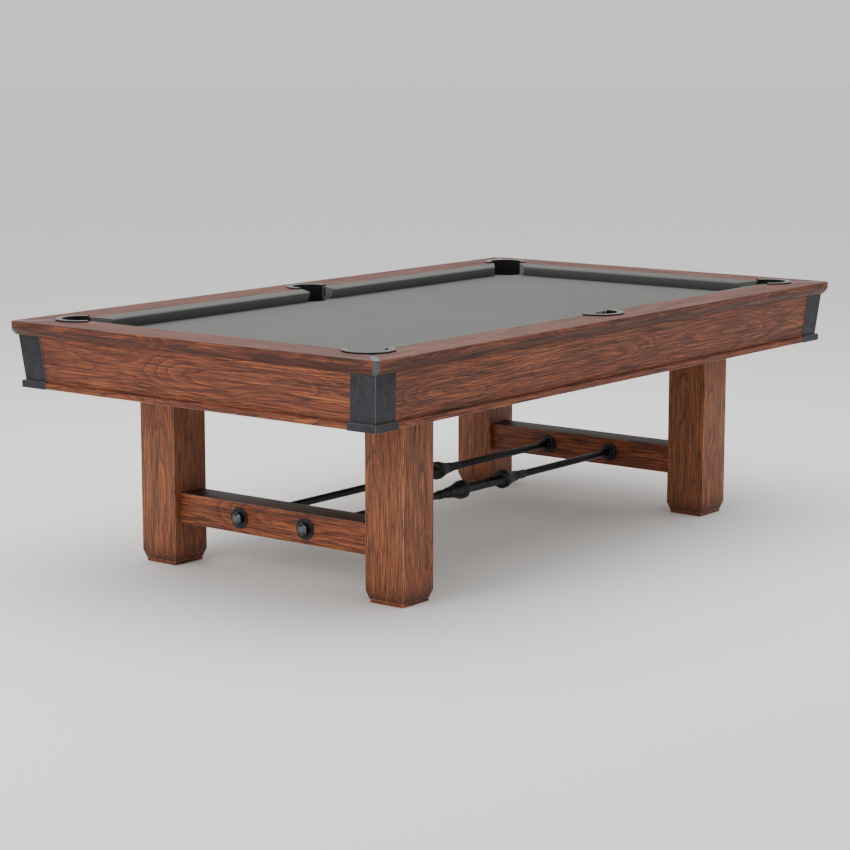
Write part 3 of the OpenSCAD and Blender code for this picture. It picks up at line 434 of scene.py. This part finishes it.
def blacked_steel():
    """Rolled steel, oil-blacked: nearly black, with a satin blue-grey glint and slight mill marks."""

    def build(tree, look, place):
        worn = add(tree, "Attribute", attribute_name="worn").outputs["Fac"]
        cloud = add(tree, "TexNoise", {"Vector": place, "Scale": 60.0, "Detail": 4.0}).outputs[0]
        rubbed = add(tree, "MapRange", {0: cloud, 1: 0.35, 2: 0.65, 3: 0.1, 4: 0.55}).outputs[0]
        rubbed = add(tree, "Math", {0: rubbed, 1: worn}, operation="MULTIPLY").outputs[0]
        mixed = {0: rubbed, 6: look.steel_black, 7: look.iron_worn}
        skin = add(tree, "Mix", mixed, data_type="RGBA").outputs[2]
        dull = add(tree, "MapRange", {0: cloud, 1: 0.25, 2: 0.75, 3: 0.30, 4: 0.48}).outputs[0]
        bump = add(tree, "Bump", {"Height": cloud, "Distance": 0.0004, "Strength": 0.3})
        return {
            "Base Color": skin,
            "Roughness": dull,
            "Normal": bump.outputs[0],
            "Metallic": 0.6,
        }

    return finish_material("blacked_steel", build)


def sand_cast_iron():
    """Grey iron cast in sand: a pebbled dark skin, brighter where the high spots are rubbed."""

    def build(tree, look, place):
        worn = add(tree, "Attribute", attribute_name="worn").outputs["Fac"]
        # Sand grain about 1.2 mm
        sand = add(tree, "TexNoise", {"Vector": place, "Scale": 800.0, "Detail": 2.0}).outputs[0]
        cloud = add(tree, "TexNoise", {"Vector": place, "Scale": 45.0, "Detail": 3.0}).outputs[0]
        tones = [(0.3, look.steel_black), (0.75, look.cast)]
        tone = add(tree, "ValToRGB", {0: cloud}, stops=tones).outputs[0]
        rubbed = add(tree, "MapRange", {0: sand, 1: 0.35, 2: 0.65, 3: 0.3, 4: 0.9}).outputs[0]
        rubbed = add(tree, "Math", {0: rubbed, 1: worn}, operation="MULTIPLY").outputs[0]
        skin = add(tree, "Mix", {0: rubbed, 6: tone, 7: look.iron_worn}, data_type="RGBA").outputs[2]
        bump = add(tree, "Bump", {"Height": sand, "Distance": 0.0008, "Strength": 0.45})
        return {
            "Base Color": skin,
            "Normal": bump.outputs[0],
            "Roughness": 0.5,
            "Metallic": 0.7,
        }

    return finish_material("sand_cast_iron", build)


def plated_steel():
    """Bright zinc plate on steel: pale, with a fine mottled spangle."""

    def build(tree, look, place):
        # Spangle about 3 mm
        spangle = add(tree, "TexVoronoi", {"Vector": place, "Scale": 330.0}).outputs["Color"]
        grey = add(tree, "SeparateColor", {0: spangle}).outputs[0]
        dull = add(tree, "MapRange", {0: grey, 3: 0.28, 4: 0.42}).outputs[0]
        shade = add(tree, "MapRange", {0: grey, 3: 0.0, 4: 0.35}).outputs[0]
        skin = add(tree, "Mix", {0: shade, 6: look.zinc, 7: look.iron}, data_type="RGBA").outputs[2]
        return {
            "Roughness": dull,
            "Base Color": skin,
            "Metallic": 1.0,
        }

    return finish_material("plated_steel", build)


def moulded_plastic(polished=False):
    """Injection-moulded black polypropylene with a fine leather-like texture; flanges come polished."""

    def build(tree, look, place):
        # Moulded texture of 1.5 mm cells
        texture = {"Vector": place, "Scale": 650.0, "Smoothness": 0.5}
        cells = add(tree, "TexVoronoi", texture, feature="SMOOTH_F1").outputs["Distance"]
        scuff = add(tree, "TexNoise", {"Vector": place, "Scale": 35.0, "Detail": 4.0}).outputs[0]
        shade = add(tree, "MapRange", {0: scuff, 1: 0.4, 2: 0.8, 3: 0.0, 4: 0.12}).outputs[0]
        skin = add(tree, "Mix", {0: shade, 6: look.plastic, 7: look.iron}, data_type="RGBA").outputs[2]
        low, high = (0.18, 0.30) if polished else (0.62, 0.80)
        dull = add(tree, "MapRange", {0: scuff, 3: low, 4: high}).outputs[0]
        bump = add(tree, "Bump", {"Height": cells, "Distance": 0.0002, "Strength": 0.12})
        return {
            "Base Color": skin,
            "Roughness": dull,
            "Specular IOR Level": 0.5 if polished else 0.15,
            "Normal": bump.outputs[0],
        }

    return finish_material("polished_plastic" if polished else "moulded_plastic", build)


def honed_slate():
    """Honed slate: dark blue-grey, layered and faintly powdery on its sawn edges."""

    def build(tree, look, place):
        layers = add(tree, "VectorMath", {0: place, 1: (9.0, 9.0, 420.0)}, operation="MULTIPLY").outputs[0]
        bed = add(tree, "TexNoise", {"Vector": layers, "Scale": 1.0, "Detail": 4.0}).outputs[0]
        shade = add(tree, "MapRange", {0: bed, 1: 0.3, 2: 0.7, 3: 0.0, 4: 0.35}).outputs[0]
        skin = add(tree, "Mix", {0: shade, 6: look.slate, 7: look.zinc}, data_type="RGBA").outputs[2]
        bump = add(tree, "Bump", {"Height": bed, "Distance": 0.0005, "Strength": 0.4})
        return {
            "Base Color": skin,
            "Normal": bump.outputs[0],
            "Roughness": 0.6,
        }

    return finish_material("honed_slate", build)


def gum_rubber():
    """Vulcanised natural gum rubber: tan, matte, with a light bloom."""

    def build(tree, look, place):
        bloom = add(tree, "TexNoise", {"Vector": place, "Scale": 30.0, "Detail": 4.0}).outputs[0]
        shade = add(tree, "MapRange", {0: bloom, 1: 0.3, 2: 0.7, 3: 0.0, 4: 0.3}).outputs[0]
        skin = add(tree, "Mix", {0: shade, 6: look.rubber, 7: look.plastic}, data_type="RGBA").outputs[2]
        return {
            "Base Color": skin,
            "Roughness": 0.8,
        }

    return finish_material("gum_rubber", build)


def planed_pine(along):
    """Planed pine, unfinished: pale with narrow resin-brown rings."""

    def build(tree, look, place):
        stretch = {"X": (2.0, 60.0, 60.0), "Y": (60.0, 2.0, 60.0)}[along]
        grain = add(tree, "VectorMath", {0: place, 1: stretch}, operation="MULTIPLY").outputs[0]
        ringing = {"Vector": grain, "Scale": 1.0, "Detail": 4.0, "Roughness": 0.6}
        rings = add(tree, "TexNoise", ringing).outputs[0]
        stops = [(0.32, look.wood_warm), (0.5, look.pine), (0.8, look.pine)]
        skin = add(tree, "ValToRGB", {0: rings}, stops=stops).outputs[0]
        bump = add(tree, "Bump", {"Height": rings, "Distance": 0.0006, "Strength": 0.3})
        return {
            "Base Color": skin,
            "Normal": bump.outputs[0],
            "Roughness": 0.7,
        }

    return finish_material(f"planed_pine_{along.lower()}", build)


# ---- Making pieces ----


def merged_copy(node):
    """A CAD node's mesh as a bmesh, joined up and with its flat faces made whole again."""
    mesh = bmesh.new()
    mesh.from_mesh(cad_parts[node].data)
    bmesh.ops.remove_doubles(mesh, verts=mesh.verts, dist=2e-6)
    bmesh.ops.dissolve_limit(
        mesh, angle_limit=math.radians(0.4), verts=mesh.verts, edges=mesh.edges, use_dissolve_boundaries=False
    )
    return mesh


def turns_by(edge, degrees):
    """Whether the faces beside an edge turn by more than this."""
    return edge.is_manifold and edge.calc_face_angle() > math.radians(degrees)


def round_edges(mesh, edges, width, segments, clamp=True):
    """Rounds edges; clamp narrows the rounding where neighbouring edges are short."""
    return bmesh.ops.bevel(
        mesh, geom=edges, offset=width, offset_type="OFFSET", segments=segments, profile=0.5,
        affect="EDGES", clamp_overlap=clamp, material=-1,
    )


def ease(mesh, width, segments=2, above=28, mark=1.0, only=None):
    """Rounds the edges that turn by more than above degrees, and marks the middle of each rounding.

    A mark of 1 is worn bright, and a negative one holds glaze. Where only picks the edges, they
    have room to spare and the rounding isn't narrowed by short edges elsewhere.
    """
    worn = mesh.verts.layers.float.get("worn") or mesh.verts.layers.float.new("worn")
    sharp = [e for e in mesh.edges if turns_by(e, above) and (only is None or only(e))]
    made = round_edges(mesh, sharp, width, segments, clamp=only is None)
    rounded = set(made["faces"])
    for vert in made["verts"]:
        if vert.is_valid and all(face in rounded for face in vert.link_faces):
            vert[worn] = mark


def pith_of(mesh, board):
    """Where the pith runs for a board: behind the middle of its outer face, a little off for each board."""
    spots = [v.co for v in mesh.verts]
    low = Vector(min(s[i] for s in spots) for i in range(3))
    high = Vector(max(s[i] for s in spots) for i in range(3))
    middle = (low + high) / 2
    sway = Vector((math.sin(board * 2.1), math.sin(board * 3.7 + 1), math.sin(board * 5.3 + 2)))
    inward = Vector((-math.copysign(0.03, middle.x), -math.copysign(0.03, middle.y), -0.01))
    return middle + inward + Vector((s * w for s, w in zip(sway, (0.02, 0.02, 0.03))))


def place_piece(mesh, name, body, nodes, materials, board=0.0, smooth=20):
    """Turns a bmesh into a finished piece that rides on a body and stands for CAD nodes."""
    pith = pith_of(mesh, board)
    layer = mesh.verts.layers.float_vector.new("pith")
    for vert in mesh.verts:
        vert[layer] = pith
    data = bpy.data.meshes.new(name)
    mesh.to_mesh(data)
    mesh.free()
    for material in materials:
        data.materials.append(material)
    data.shade_smooth()
    data.set_sharp_from_angle(angle=math.radians(smooth))
    piece = bpy.data.objects.new(name, data)
    bpy.context.scene.collection.objects.link(piece)
    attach(piece, body)
    if nodes:
        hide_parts(*nodes)
    return piece


def eased_piece(node, name, material, width, segments=2, body="root", board=0.0, above=28, mark=1.0):
    """A CAD node's shape with its edges rounded and marked."""
    mesh = merged_copy(node)
    ease(mesh, width, segments, above, mark)
    return place_piece(mesh, name, body, [node], [material], board)


def keep_node(node, material):
    """Leaves a CAD node's shape as it is and gives it a finish."""
    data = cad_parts[node].data
    data.materials.clear()
    data.materials.append(material)


def cut(mesh, point, outward):
    """Cuts away what lies beyond a plane and closes the cut."""
    made = bmesh.ops.bisect_plane(
        mesh, geom=mesh.verts[:] + mesh.edges[:] + mesh.faces[:], dist=1e-7,
        plane_co=point, plane_no=outward, clear_outer=True, clear_inner=False,
    )
    edges = [g for g in made["geom_cut"] if isinstance(g, bmesh.types.BMEdge)]
    return bmesh.ops.holes_fill(mesh, edges=edges)["faces"]


def cushion_skin(start, end, facings, clear):
    """The cloth of one cushion as a closed form on its nose line, from start to end along X.

    The nose line is Y = 0 at the rail's top, Z = 0; the rail lies toward +Y. facings holds the
    angles at both ends, and clear the distances from each end that its pocket's liner leaves.
    """
    size = sizes()
    skin = size.cloth
    centre = size.nose_radius + skin
    fall = size.nose_below - size.nose_radius - skin
    rise = math.radians(72)
    slope = math.atan2(fall, RUBBER_BACK - centre)
    outline = [(CUSHION_BACK, 0.0), (RUBBER_BACK, 0.0)]
    steps = 14
    for i in range(steps + 1):
        turn = math.pi / 2 + slope + i * (math.pi - slope - rise) / steps
        outline.append((centre + centre * math.cos(turn), -size.nose_below + centre * math.sin(turn)))
    outline += UNDERCUT
    around = sum(math.dist(a, b) for a, b in zip(outline, outline[1:]))
    outline += [(CUSHION_BACK, -BED_BELOW), (CUSHION_BACK, -size.cloth_tuck * 2.2)]
    mesh = bmesh.new()
    ring = [mesh.verts.new((start - SPARE, y, z)) for y, z in outline]
    face = mesh.faces.new(ring)
    grown = bmesh.ops.extrude_face_region(mesh, geom=[face])
    moved = [g for g in grown["geom"] if isinstance(g, bmesh.types.BMVert)]
    bmesh.ops.translate(mesh, verts=moved, vec=(end - start + 2 * SPARE, 0, 0))
    bmesh.ops.recalc_face_normals(mesh, faces=mesh.faces)
    ends = []
    for x, sign, angle, gone in ((start, -1, facings[0], clear[0]), (end, 1, facings[1], clear[1])):
        lean = angle - math.pi / 2
        outward = Vector((sign * math.cos(lean), -math.sin(lean), 0))
        ends += cut(mesh, Vector((x, 0, 0)) + outward * size.facing_cover, outward)
        ends += cut(mesh, Vector((x + sign * gone, 0, 0)), Vector((sign, 0, 0)))
    return mesh, [f for f in ends if f.is_valid], around


def dress_cushion(name, start, end, facings, clear, placing, board):
    """Cloth stretched over one cushion, folded over its ends and tucked behind it."""
    size = sizes()
    mesh, ends, around = cushion_skin(start, end, facings, clear)
    # The cushion's hidden back and the inside of the groove are left open.
    hidden = [
        f for f in mesh.faces
        if f.normal.y > 0.7 or (f.normal.z < -0.99 and f.calc_center_median().z < NEAR / 2 - BED_BELOW)
    ]
    bmesh.ops.delete(mesh, geom=hidden, context="FACES")
    at_ends = {e for f in ends if f.is_valid for e in f.edges}
    round_edges(mesh, [e for e in mesh.edges if e in at_ends and turns_by(e, 25)], size.cloth_fold, 3)
    # The edge along the groove's mouth
    spine = [
        e for e in mesh.edges
        if turns_by(e, 60) and all(v.co.y > RUBBER_BACK + NEAR and v.co.z > -NEAR / 2 for v in e.verts)
    ]
    round_edges(mesh, spine, size.cloth_tuck, 4)
    bmesh.ops.solidify(mesh, geom=mesh.faces[:], thickness=size.cloth * CLOTH_SHARE)
    bmesh.ops.transform(mesh, matrix=placing, verts=mesh.verts)
    if placing.determinant() < 0:
        bmesh.ops.reverse_faces(mesh, faces=mesh.faces)
    node = f"cushion_cloth_{name}"
    piece = place_piece(mesh, f"cushion_{name}_cloth", "root", [node], [worsted_cloth()], board, 35)
    # The strip runs from the groove over the nose and down to the bed, with a fold at each end.
    return piece


# ---- Operators: top of the table ----


class PoolTableRails(bpy.types.Operator):
    """Six mitred timber rails with eased edges, grain running along each"""

    bl_idname = "pool_table.rails"
    bl_label = "Rails"

    def execute(self, context):
        for i, end in enumerate(ENDS):
            self.make_rail(end, "Y", 1 + 2.7 * i)
        for i, side in enumerate(SIDES):
            for j, end in enumerate(ENDS):
                self.make_rail(f"{side}_{end}", "X", 7 + 3.1 * i + 1.7 * j)
        return {"FINISHED"}

    @staticmethod
    def make_rail(name, along, board):
        """Glaze is caught along the outer edges; the sloped underside, which lies in shade, gets darker timber
        as painted shade.
        """
        mesh = merged_copy(f"rail_{name}")
        across = 0 if along == "Y" else 1
        rim = max(abs(v.co[across]) for v in mesh.verts)

        def outer(edge):
            return edge.calc_length() > LONG_EDGE and all(rim - abs(v.co[across]) < RIM for v in edge.verts)

        ease(mesh, sizes().rail_edge, 4, mark=-1.0, only=outer)
        # Painted shade: faces turned downward take the darker second timber.
        for face in mesh.faces:
            if face.normal.z < -0.2:
                face.material_index = 1
        place_piece(
            mesh, f"rail_{name}_timber", "root", [f"rail_{name}"],
            [stained_timber(along, 0.36), stained_timber(along, 0.62)], board,
        )


class PoolTableCushions(bpy.types.Operator):
    """Cloth over the six cushions, with the rubber, facings and feather strips under it"""

    bl_idname = "pool_table.cushions"
    bl_label = "Cushions"

    def execute(self, context):
        size = sizes()
        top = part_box("rail_head")[1].z
        nose_x = -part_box("cushion_cloth_head")[1].x
        nose_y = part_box("cushion_cloth_left_foot")[0].y
        corner_facings = (size.corner_facing, size.corner_facing)
        side_facings = (size.side_facing, size.corner_facing)
        for index, (end, sign) in enumerate((("head", -1), ("foot", 1))):
            reach = nose_y - CORNER_MOUTH
            placing = Matrix(((0, sign, 0, sign * nose_x), (1, 0, 0, 0), (0, 0, 1, top), (0, 0, 0, 1)))
            dress_cushion(end, -reach, reach, corner_facings, (CORNER_CLEAR, CORNER_CLEAR), placing, index)
        for index, (side_name, ys) in enumerate((("left", 1), ("right", -1))):
            for end, xs in (("head", -1), ("foot", 1)):
                placing = Matrix(((xs, 0, 0, 0), (0, ys, 0, ys * nose_y), (0, 0, 1, top), (0, 0, 0, 1)))
                dress_cushion(
                    f"{side_name}_{end}", SIDE_MOUTH, nose_x - CORNER_MOUTH, side_facings,
                    (SIDE_CLEAR, CORNER_CLEAR), placing, index + 3,
                )
        keep_node("cushion_rubber", gum_rubber())
        keep_node("pocket_facings", moulded_plastic())
        # The cushion's cloth is folded over the strips.
        keep_node("feather_strips", worsted_cloth())
        return {"FINISHED"}


class PoolTableBed(bpy.types.Operator):
    """Three honed slates under one stretched bed cloth that turns down into the pockets"""

    bl_idname = "pool_table.bed"
    bl_label = "Bed"

    def execute(self, context):
        size = sizes()
        for name in SLATES:
            keep_node(name, honed_slate())
        mesh = merged_copy("bed_cloth")
        unseen = [f for f in mesh.faces if f.normal.z < 0.9]
        bmesh.ops.delete(mesh, geom=unseen, context="FACES")
        centres = [(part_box(f"pocket_{name}")[0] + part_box(f"pocket_{name}")[1]) / 2 for name in POCKETS]
        rims = [
            e for e in mesh.edges
            if e.is_boundary and all(
                any((v.co.xy - c.xy).length < MOUTH_REACH for c in centres) for v in e.verts
            )
        ]
        grown = bmesh.ops.extrude_edge_only(mesh, edges=rims)
        turned = [g for g in grown["geom"] if isinstance(g, bmesh.types.BMVert)]
        bmesh.ops.translate(mesh, verts=turned, vec=(0, 0, -size.bed_turn_down))
        bmesh.ops.recalc_face_normals(mesh, faces=mesh.faces)
        if sum(f.normal.z * f.calc_area() for f in mesh.faces) < 0:
            bmesh.ops.reverse_faces(mesh, faces=mesh.faces)
        round_edges(mesh, [e for e in mesh.edges if turns_by(e, 60)], size.cloth, 2)
        bmesh.ops.solidify(mesh, geom=mesh.faces[:], thickness=size.cloth * CLOTH_SHARE)
        piece = place_piece(
            mesh, "bed_cloth_stretched", "root", ["bed_cloth"], [worsted_cloth()], smooth=35
        )
        return {"FINISHED"}


class PoolTablePockets(bpy.types.Operator):
    """Six moulded black pocket liners with flanges over the rails"""

    bl_idname = "pool_table.pockets"
    bl_label = "Pockets"

    def execute(self, context):
        for name in POCKETS:
            mesh = merged_copy(f"pocket_{name}")
            ease(mesh, sizes().iron_edge, 2, 40)
            top = max(v.co.z for v in mesh.verts)
            for face in mesh.faces:
                if face.calc_center_median().z < top - NEAR / 2:
                    face.material_index = 1
            place_piece(
                mesh, f"liner_{name}", "root", [f"pocket_{name}"],
                [moulded_plastic(polished=True), moulded_plastic()],
            )
        return {"FINISHED"}


class PoolTableStraps(bpy.types.Operator):
    """Burnished iron straps let into the corner mitres"""

    bl_idname = "pool_table.straps"
    bl_label = "Corner straps"

    def execute(self, context):
        eased_piece("corner_straps", "mitre_straps", burnished_iron(), sizes().iron_edge)
        return {"FINISHED"}


# ---- Operators: skirt ----


class PoolTableAprons(bpy.types.Operator):
    """Four leaning apron boards with their base mouldings and brackets"""

    bl_idname = "pool_table.aprons"
    bl_label = "Aprons"

    def execute(self, context):
        width = sizes().timber_edge
        for i, (name, along) in enumerate((("head", "Y"), ("foot", "Y"), ("left", "X"), ("right", "X"))):
            timber = stained_timber(along, 0.16, thinned=0.06)
            eased_piece(
                f"apron_{name}", f"apron_{name}_board", timber, width, board=13 + 2.3 * i
            )
            eased_piece(
                f"base_moulding_{name}", f"moulding_{name}", timber, width * 0.6,
                board=19 + 1.9 * i, above=35,
            )
        keep_node("apron_brackets", plated_steel())
        return {"FINISHED"}


class PoolTableCornerCaps(bpy.types.Operator):
    """Four hammered iron caps round the skirt's corners, with spread feet"""

    bl_idname = "pool_table.corner_caps"
    bl_label = "Corner caps"

    def execute(self, context):
        for name in QUARTERS:
            eased_piece(
                f"corner_cap_{name}", f"cap_{name}", blackened_iron(),
                sizes().iron_edge * 1.4, above=40,
            )
        return {"FINISHED"}


# ---- Operators: under-frame ----


class PoolTableFrame(bpy.types.Operator):
    """Pine side beams and cross beams with the bolts that hold the rails and legs"""

    bl_idname = "pool_table.frame"
    bl_label = "Frame"

    def execute(self, context):
        width = sizes().timber_edge
        eased_piece("side_beams", "side_beam_pair", planed_pine("X"), width)
        eased_piece("cross_beams", "cross_beam_set", planed_pine("Y"), width)
        for name in ("rail_bolts", "leg_bolts"):
            eased_piece(name, f"{name}_plated", plated_steel(), sizes().iron_edge * 0.6)
        return {"FINISHED"}


class PoolTableLegs(bpy.types.Operator):
    """Four square timber legs with tapered feet and rubbed edges"""

    bl_idname = "pool_table.legs"
    bl_label = "Legs"

    def execute(self, context):
        for i, name in enumerate(QUARTERS):
            eased_piece(
                f"leg_{name}", f"leg_{name}_timber", stained_timber("Z", thinned=0.3),
                sizes().leg_edge, segments=3, board=29 + 3.7 * i,
            )
        return {"FINISHED"}


class PoolTableFeet(bpy.types.Operator):
    """Four levelling feet: a dark timber plate on a plated steel stud"""

    bl_idname = "pool_table.feet"
    bl_label = "Levelling feet"

    def execute(self, context):
        for i, name in enumerate(QUARTERS):
            node = f"levelling_foot_{name}"
            low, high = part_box(node)
            middle = (low + high) / 2
            mesh = merged_copy(node)
            ease(mesh, sizes().timber_edge * 0.7, 2, 40)
            for face in mesh.faces:
                above_ground = face.calc_center_median().z > low.z + NEAR / 2
                if above_ground and all((v.co.xy - middle.xy).length < STUD_REACH for v in face.verts):
                    face.material_index = 1
            finishes = [stained_timber("X"), plated_steel()]
            place_piece(mesh, f"foot_{name}", node, [node], finishes, 43 + 1.3 * i)
        return {"FINISHED"}


class PoolTableStretchers(bpy.types.Operator):
    """Two timber stretchers tenoned between the legs of each end"""

    bl_idname = "pool_table.stretchers"
    bl_label = "Stretchers"

    def execute(self, context):
        for i, end in enumerate(ENDS):
            mesh = merged_copy(f"stretcher_{end}")
            ease(mesh, sizes().timber_edge * 1.3, 3)
            # Painted shade: the tops, which lie in shade under the table, take the darker second timber.
            for face in mesh.faces:
                if face.normal.z > 0.9:
                    face.material_index = 1
            place_piece(
                mesh, f"stretcher_{end}_timber", "root", [f"stretcher_{end}"],
                [stained_timber("Y", 0.02, thinned=0.1), stained_timber("Y", 0.75)], 51 + 4.3 * i,
            )
        return {"FINISHED"}


class PoolTableRods(bpy.types.Operator):
    """Blacked tie rods, threaded where they enter the turnbuckles"""

    bl_idname = "pool_table.rods"
    bl_label = "Tie rods"

    def execute(self, context):
        size = sizes()
        for side in SIDES:
            node = f"tie_rod_{side}"
            low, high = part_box(node)
            middle = (low + high) / 2
            radius = (high.z - low.z) / 2
            buckle_low, buckle_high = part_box(f"turnbuckle_{side}")
            window = (buckle_low.x + buckle_high.x) / 2
            across = [v.co.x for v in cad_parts[node].data.vertices]
            mesh = bmesh.new()
            for sign, outer in ((-1, low.x), (1, high.x)):
                inner = min((x for x in across if (x - window) * sign > 0), key=lambda x: abs(x - window))
                self.turn_rod(mesh, inner, outer, sign, radius, middle, size)
            place_piece(mesh, f"rod_{side}", "root", [node], [blacked_steel()], smooth=32)
        return {"FINISHED"}

    @staticmethod
    def turn_rod(mesh, inner, outer, sign, radius, middle, size):
        """Turns one rod about its axis from a half outline: point, thread, shank, end."""
        chamfer = size.thread_depth
        outline = [(inner, 0.0), (inner, radius - chamfer * 1.5)]
        turns = int(size.thread_length / size.thread_pitch)
        for i in range(turns):
            at = inner + sign * (chamfer + i * size.thread_pitch)
            outline += [(at, radius), (at + sign * size.thread_pitch / 2, radius - size.thread_depth)]
        outline += [(inner + sign * (chamfer + turns * size.thread_pitch), radius)]
        outline += [(outer - sign * chamfer, radius), (outer, radius - chamfer), (outer, 0.0)]
        made = bmesh.new()
        points = [made.verts.new((x, middle.y, middle.z + r)) for x, r in outline]
        edges = [made.edges.new(pair) for pair in zip(points, points[1:])]
        bmesh.ops.spin(
            made, geom=points + edges, cent=(0, middle.y, middle.z), axis=(1, 0, 0), dvec=(0, 0, 0),
            angle=2 * math.pi, steps=40, use_merge=True, use_normal_flip=False, use_duplicate=False,
        )
        bmesh.ops.remove_doubles(made, verts=made.verts, dist=1e-6)
        bmesh.ops.recalc_face_normals(made, faces=made.faces)
        data = bpy.data.meshes.new("rod_length")
        made.to_mesh(data)
        made.free()
        mesh.from_mesh(data)
        bpy.data.meshes.remove(data)


class PoolTableTurnbuckles(bpy.types.Operator):
    """Two open cast-iron turnbuckles that turn on the rods"""

    bl_idname = "pool_table.turnbuckles"
    bl_label = "Turnbuckles"

    def execute(self, context):
        for side in SIDES:
            node = f"turnbuckle_{side}"
            mesh = merged_copy(node)
            ease(mesh, sizes().cast_edge, 3, 35)
            place_piece(mesh, f"buckle_{side}", node, [node], [sand_cast_iron()], smooth=32)
        return {"FINISHED"}


class PoolTableRodFittings(bpy.types.Operator):
    """Washers, cap nuts and inner flanges of the tie rods"""

    bl_idname = "pool_table.rod_fittings"
    bl_label = "Rod fittings"

    def execute(self, context):
        fittings = (
            ("rod_washers", "washers", blacked_steel()), ("rod_cap_nuts", "cap_nuts", burnished_iron()),
            ("rod_flanges", "flanges", blacked_steel()),
        )
        for node, name, finish in fittings:
            mesh = merged_copy(node)
            ease(mesh, sizes().iron_edge * 1.2, 2, 28)
            place_piece(mesh, name, "root", [node], [finish], smooth=24)
        return {"FINISHED"}


# ---- Stage ----

# Each light: name, place, target, width, height, power in watts, colour
LIGHTS = (
    ("overhead", (0.3, 0.3, 4.2), (0, 0, 0), 6.0, 5.0, 190.0, (1.0, 0.99, 0.98)),
    ("key", (-5.5, 0.6, 2.2), (0, 0, 0.4), 2.5, 2.5, 90.0, (1.0, 0.98, 0.96)),
)
SKY_STRENGTH = 0.9
FLOOR_RADIUS = 60.0
LENS_MM = 101.37
CAMERA_PLACE = (-6.4311, -4.8972, 1.7523)
# Degrees below the horizon, and to the left of +X
CAMERA_DIP = 9.6125
CAMERA_TURN = 37.832


def soft_light(name, centre, target, width, height, power, tone):
    """A soft rectangular light that faces the target."""
    data = bpy.data.lights.new(name, "AREA")
    data.shape = "RECTANGLE"
    data.size, data.size_y = width, height
    data.energy = power
    data.color = tone
    lamp = bpy.data.objects.new(name, data)
    lamp.location = centre
    lamp.rotation_euler = (Vector(target) - Vector(centre)).to_track_quat("-Z", "Y").to_euler()
    bpy.context.scene.collection.objects.link(lamp)


class PoolTableStage(bpy.types.Operator):
    """Plain pale floor, soft studio light and the camera"""

    bl_idname = "pool_table.stage"
    bl_label = "Stage"

    def execute(self, context):
        def matte(tree, look, place):
            mottle = add(tree, "TexNoise", {"Vector": place, "Scale": 3.0, "Detail": 2.0}).outputs[0]
            dull = add(tree, "MapRange", {0: mottle, 3: 0.85, 4: 0.95}).outputs[0]
            return {"Roughness": dull, "Base Color": look.floor, "Specular IOR Level": 0.1}

        mesh = bmesh.new()
        bmesh.ops.create_circle(mesh, cap_ends=True, radius=FLOOR_RADIUS, segments=96)
        data = bpy.data.meshes.new("floor")
        mesh.to_mesh(data)
        mesh.free()
        data.materials.append(finish_material("matte_floor", matte))
        floor = bpy.data.objects.new("floor", data)
        context.scene.collection.objects.link(floor)

        world = bpy.data.worlds.new("studio")
        context.scene.world = world
        world.use_nodes = True
        sky = world.node_tree.nodes["Background"]
        sky.inputs["Color"].default_value = (1.0, 1.0, 1.0, 1.0)
        sky.inputs["Strength"].default_value = SKY_STRENGTH
        for light in LIGHTS:
            soft_light(*light)

        data = bpy.data.cameras.new("camera")
        data.sensor_width = 36.0
        data.lens = LENS_MM
        data.clip_start, data.clip_end = 0.1, 200.0
        camera = bpy.data.objects.new("camera", data)
        camera.location = CAMERA_PLACE
        camera.rotation_euler = (math.radians(90 - CAMERA_DIP), 0.0, math.radians(CAMERA_TURN - 90))
        context.scene.collection.objects.link(camera)
        context.scene.camera = camera
        return {"FINISHED"}


OPERATORS = (
    PoolTableRails,
    PoolTableCushions,
    PoolTableBed,
    PoolTablePockets,
    PoolTableStraps,
    PoolTableAprons,
    PoolTableCornerCaps,
    PoolTableFrame,
    PoolTableLegs,
    PoolTableFeet,
    PoolTableStretchers,
    PoolTableRods,
    PoolTableTurnbuckles,
    PoolTableRodFittings,
    PoolTableStage,
)


class VIEW3D_PT_pool_table(bpy.types.Panel):
    """Lists the table's sizes, colours and pieces"""

    bl_label = "Pool table"
    bl_space_type = "VIEW_3D"
    bl_region_type = "UI"
    bl_category = "Pool table"

    def draw(self, context):
        for group in (context.scene.pool_table_sizes, context.scene.pool_table_colours):
            column = self.layout.column(align=True)
            for name in group.__annotations__:
                column.prop(group, name)
        column = self.layout.column(align=True)
        for operator in OPERATORS:
            column.operator(operator.bl_idname)


CLASSES = (PoolTableSizes, PoolTableColours, *OPERATORS, VIEW3D_PT_pool_table)


def register():
    for made in CLASSES:
        bpy.utils.register_class(made)
    bpy.types.Scene.pool_table_sizes = PointerProperty(
        name="Sizes", description="Sizes of the finish", type=PoolTableSizes
    )
    bpy.types.Scene.pool_table_colours = PointerProperty(
        name="Colours", description="Colours of the finishes", type=PoolTableColours
    )


def unregister():
    del bpy.types.Scene.pool_table_colours
    del bpy.types.Scene.pool_table_sizes
    for made in reversed(CLASSES):
        bpy.utils.unregister_class(made)


def main():
    register()
    for operator in OPERATORS:
        group, name = operator.bl_idname.split(".")
        getattr(getattr(bpy.ops, group), name)()


if __name__ == "__main__":
    main()
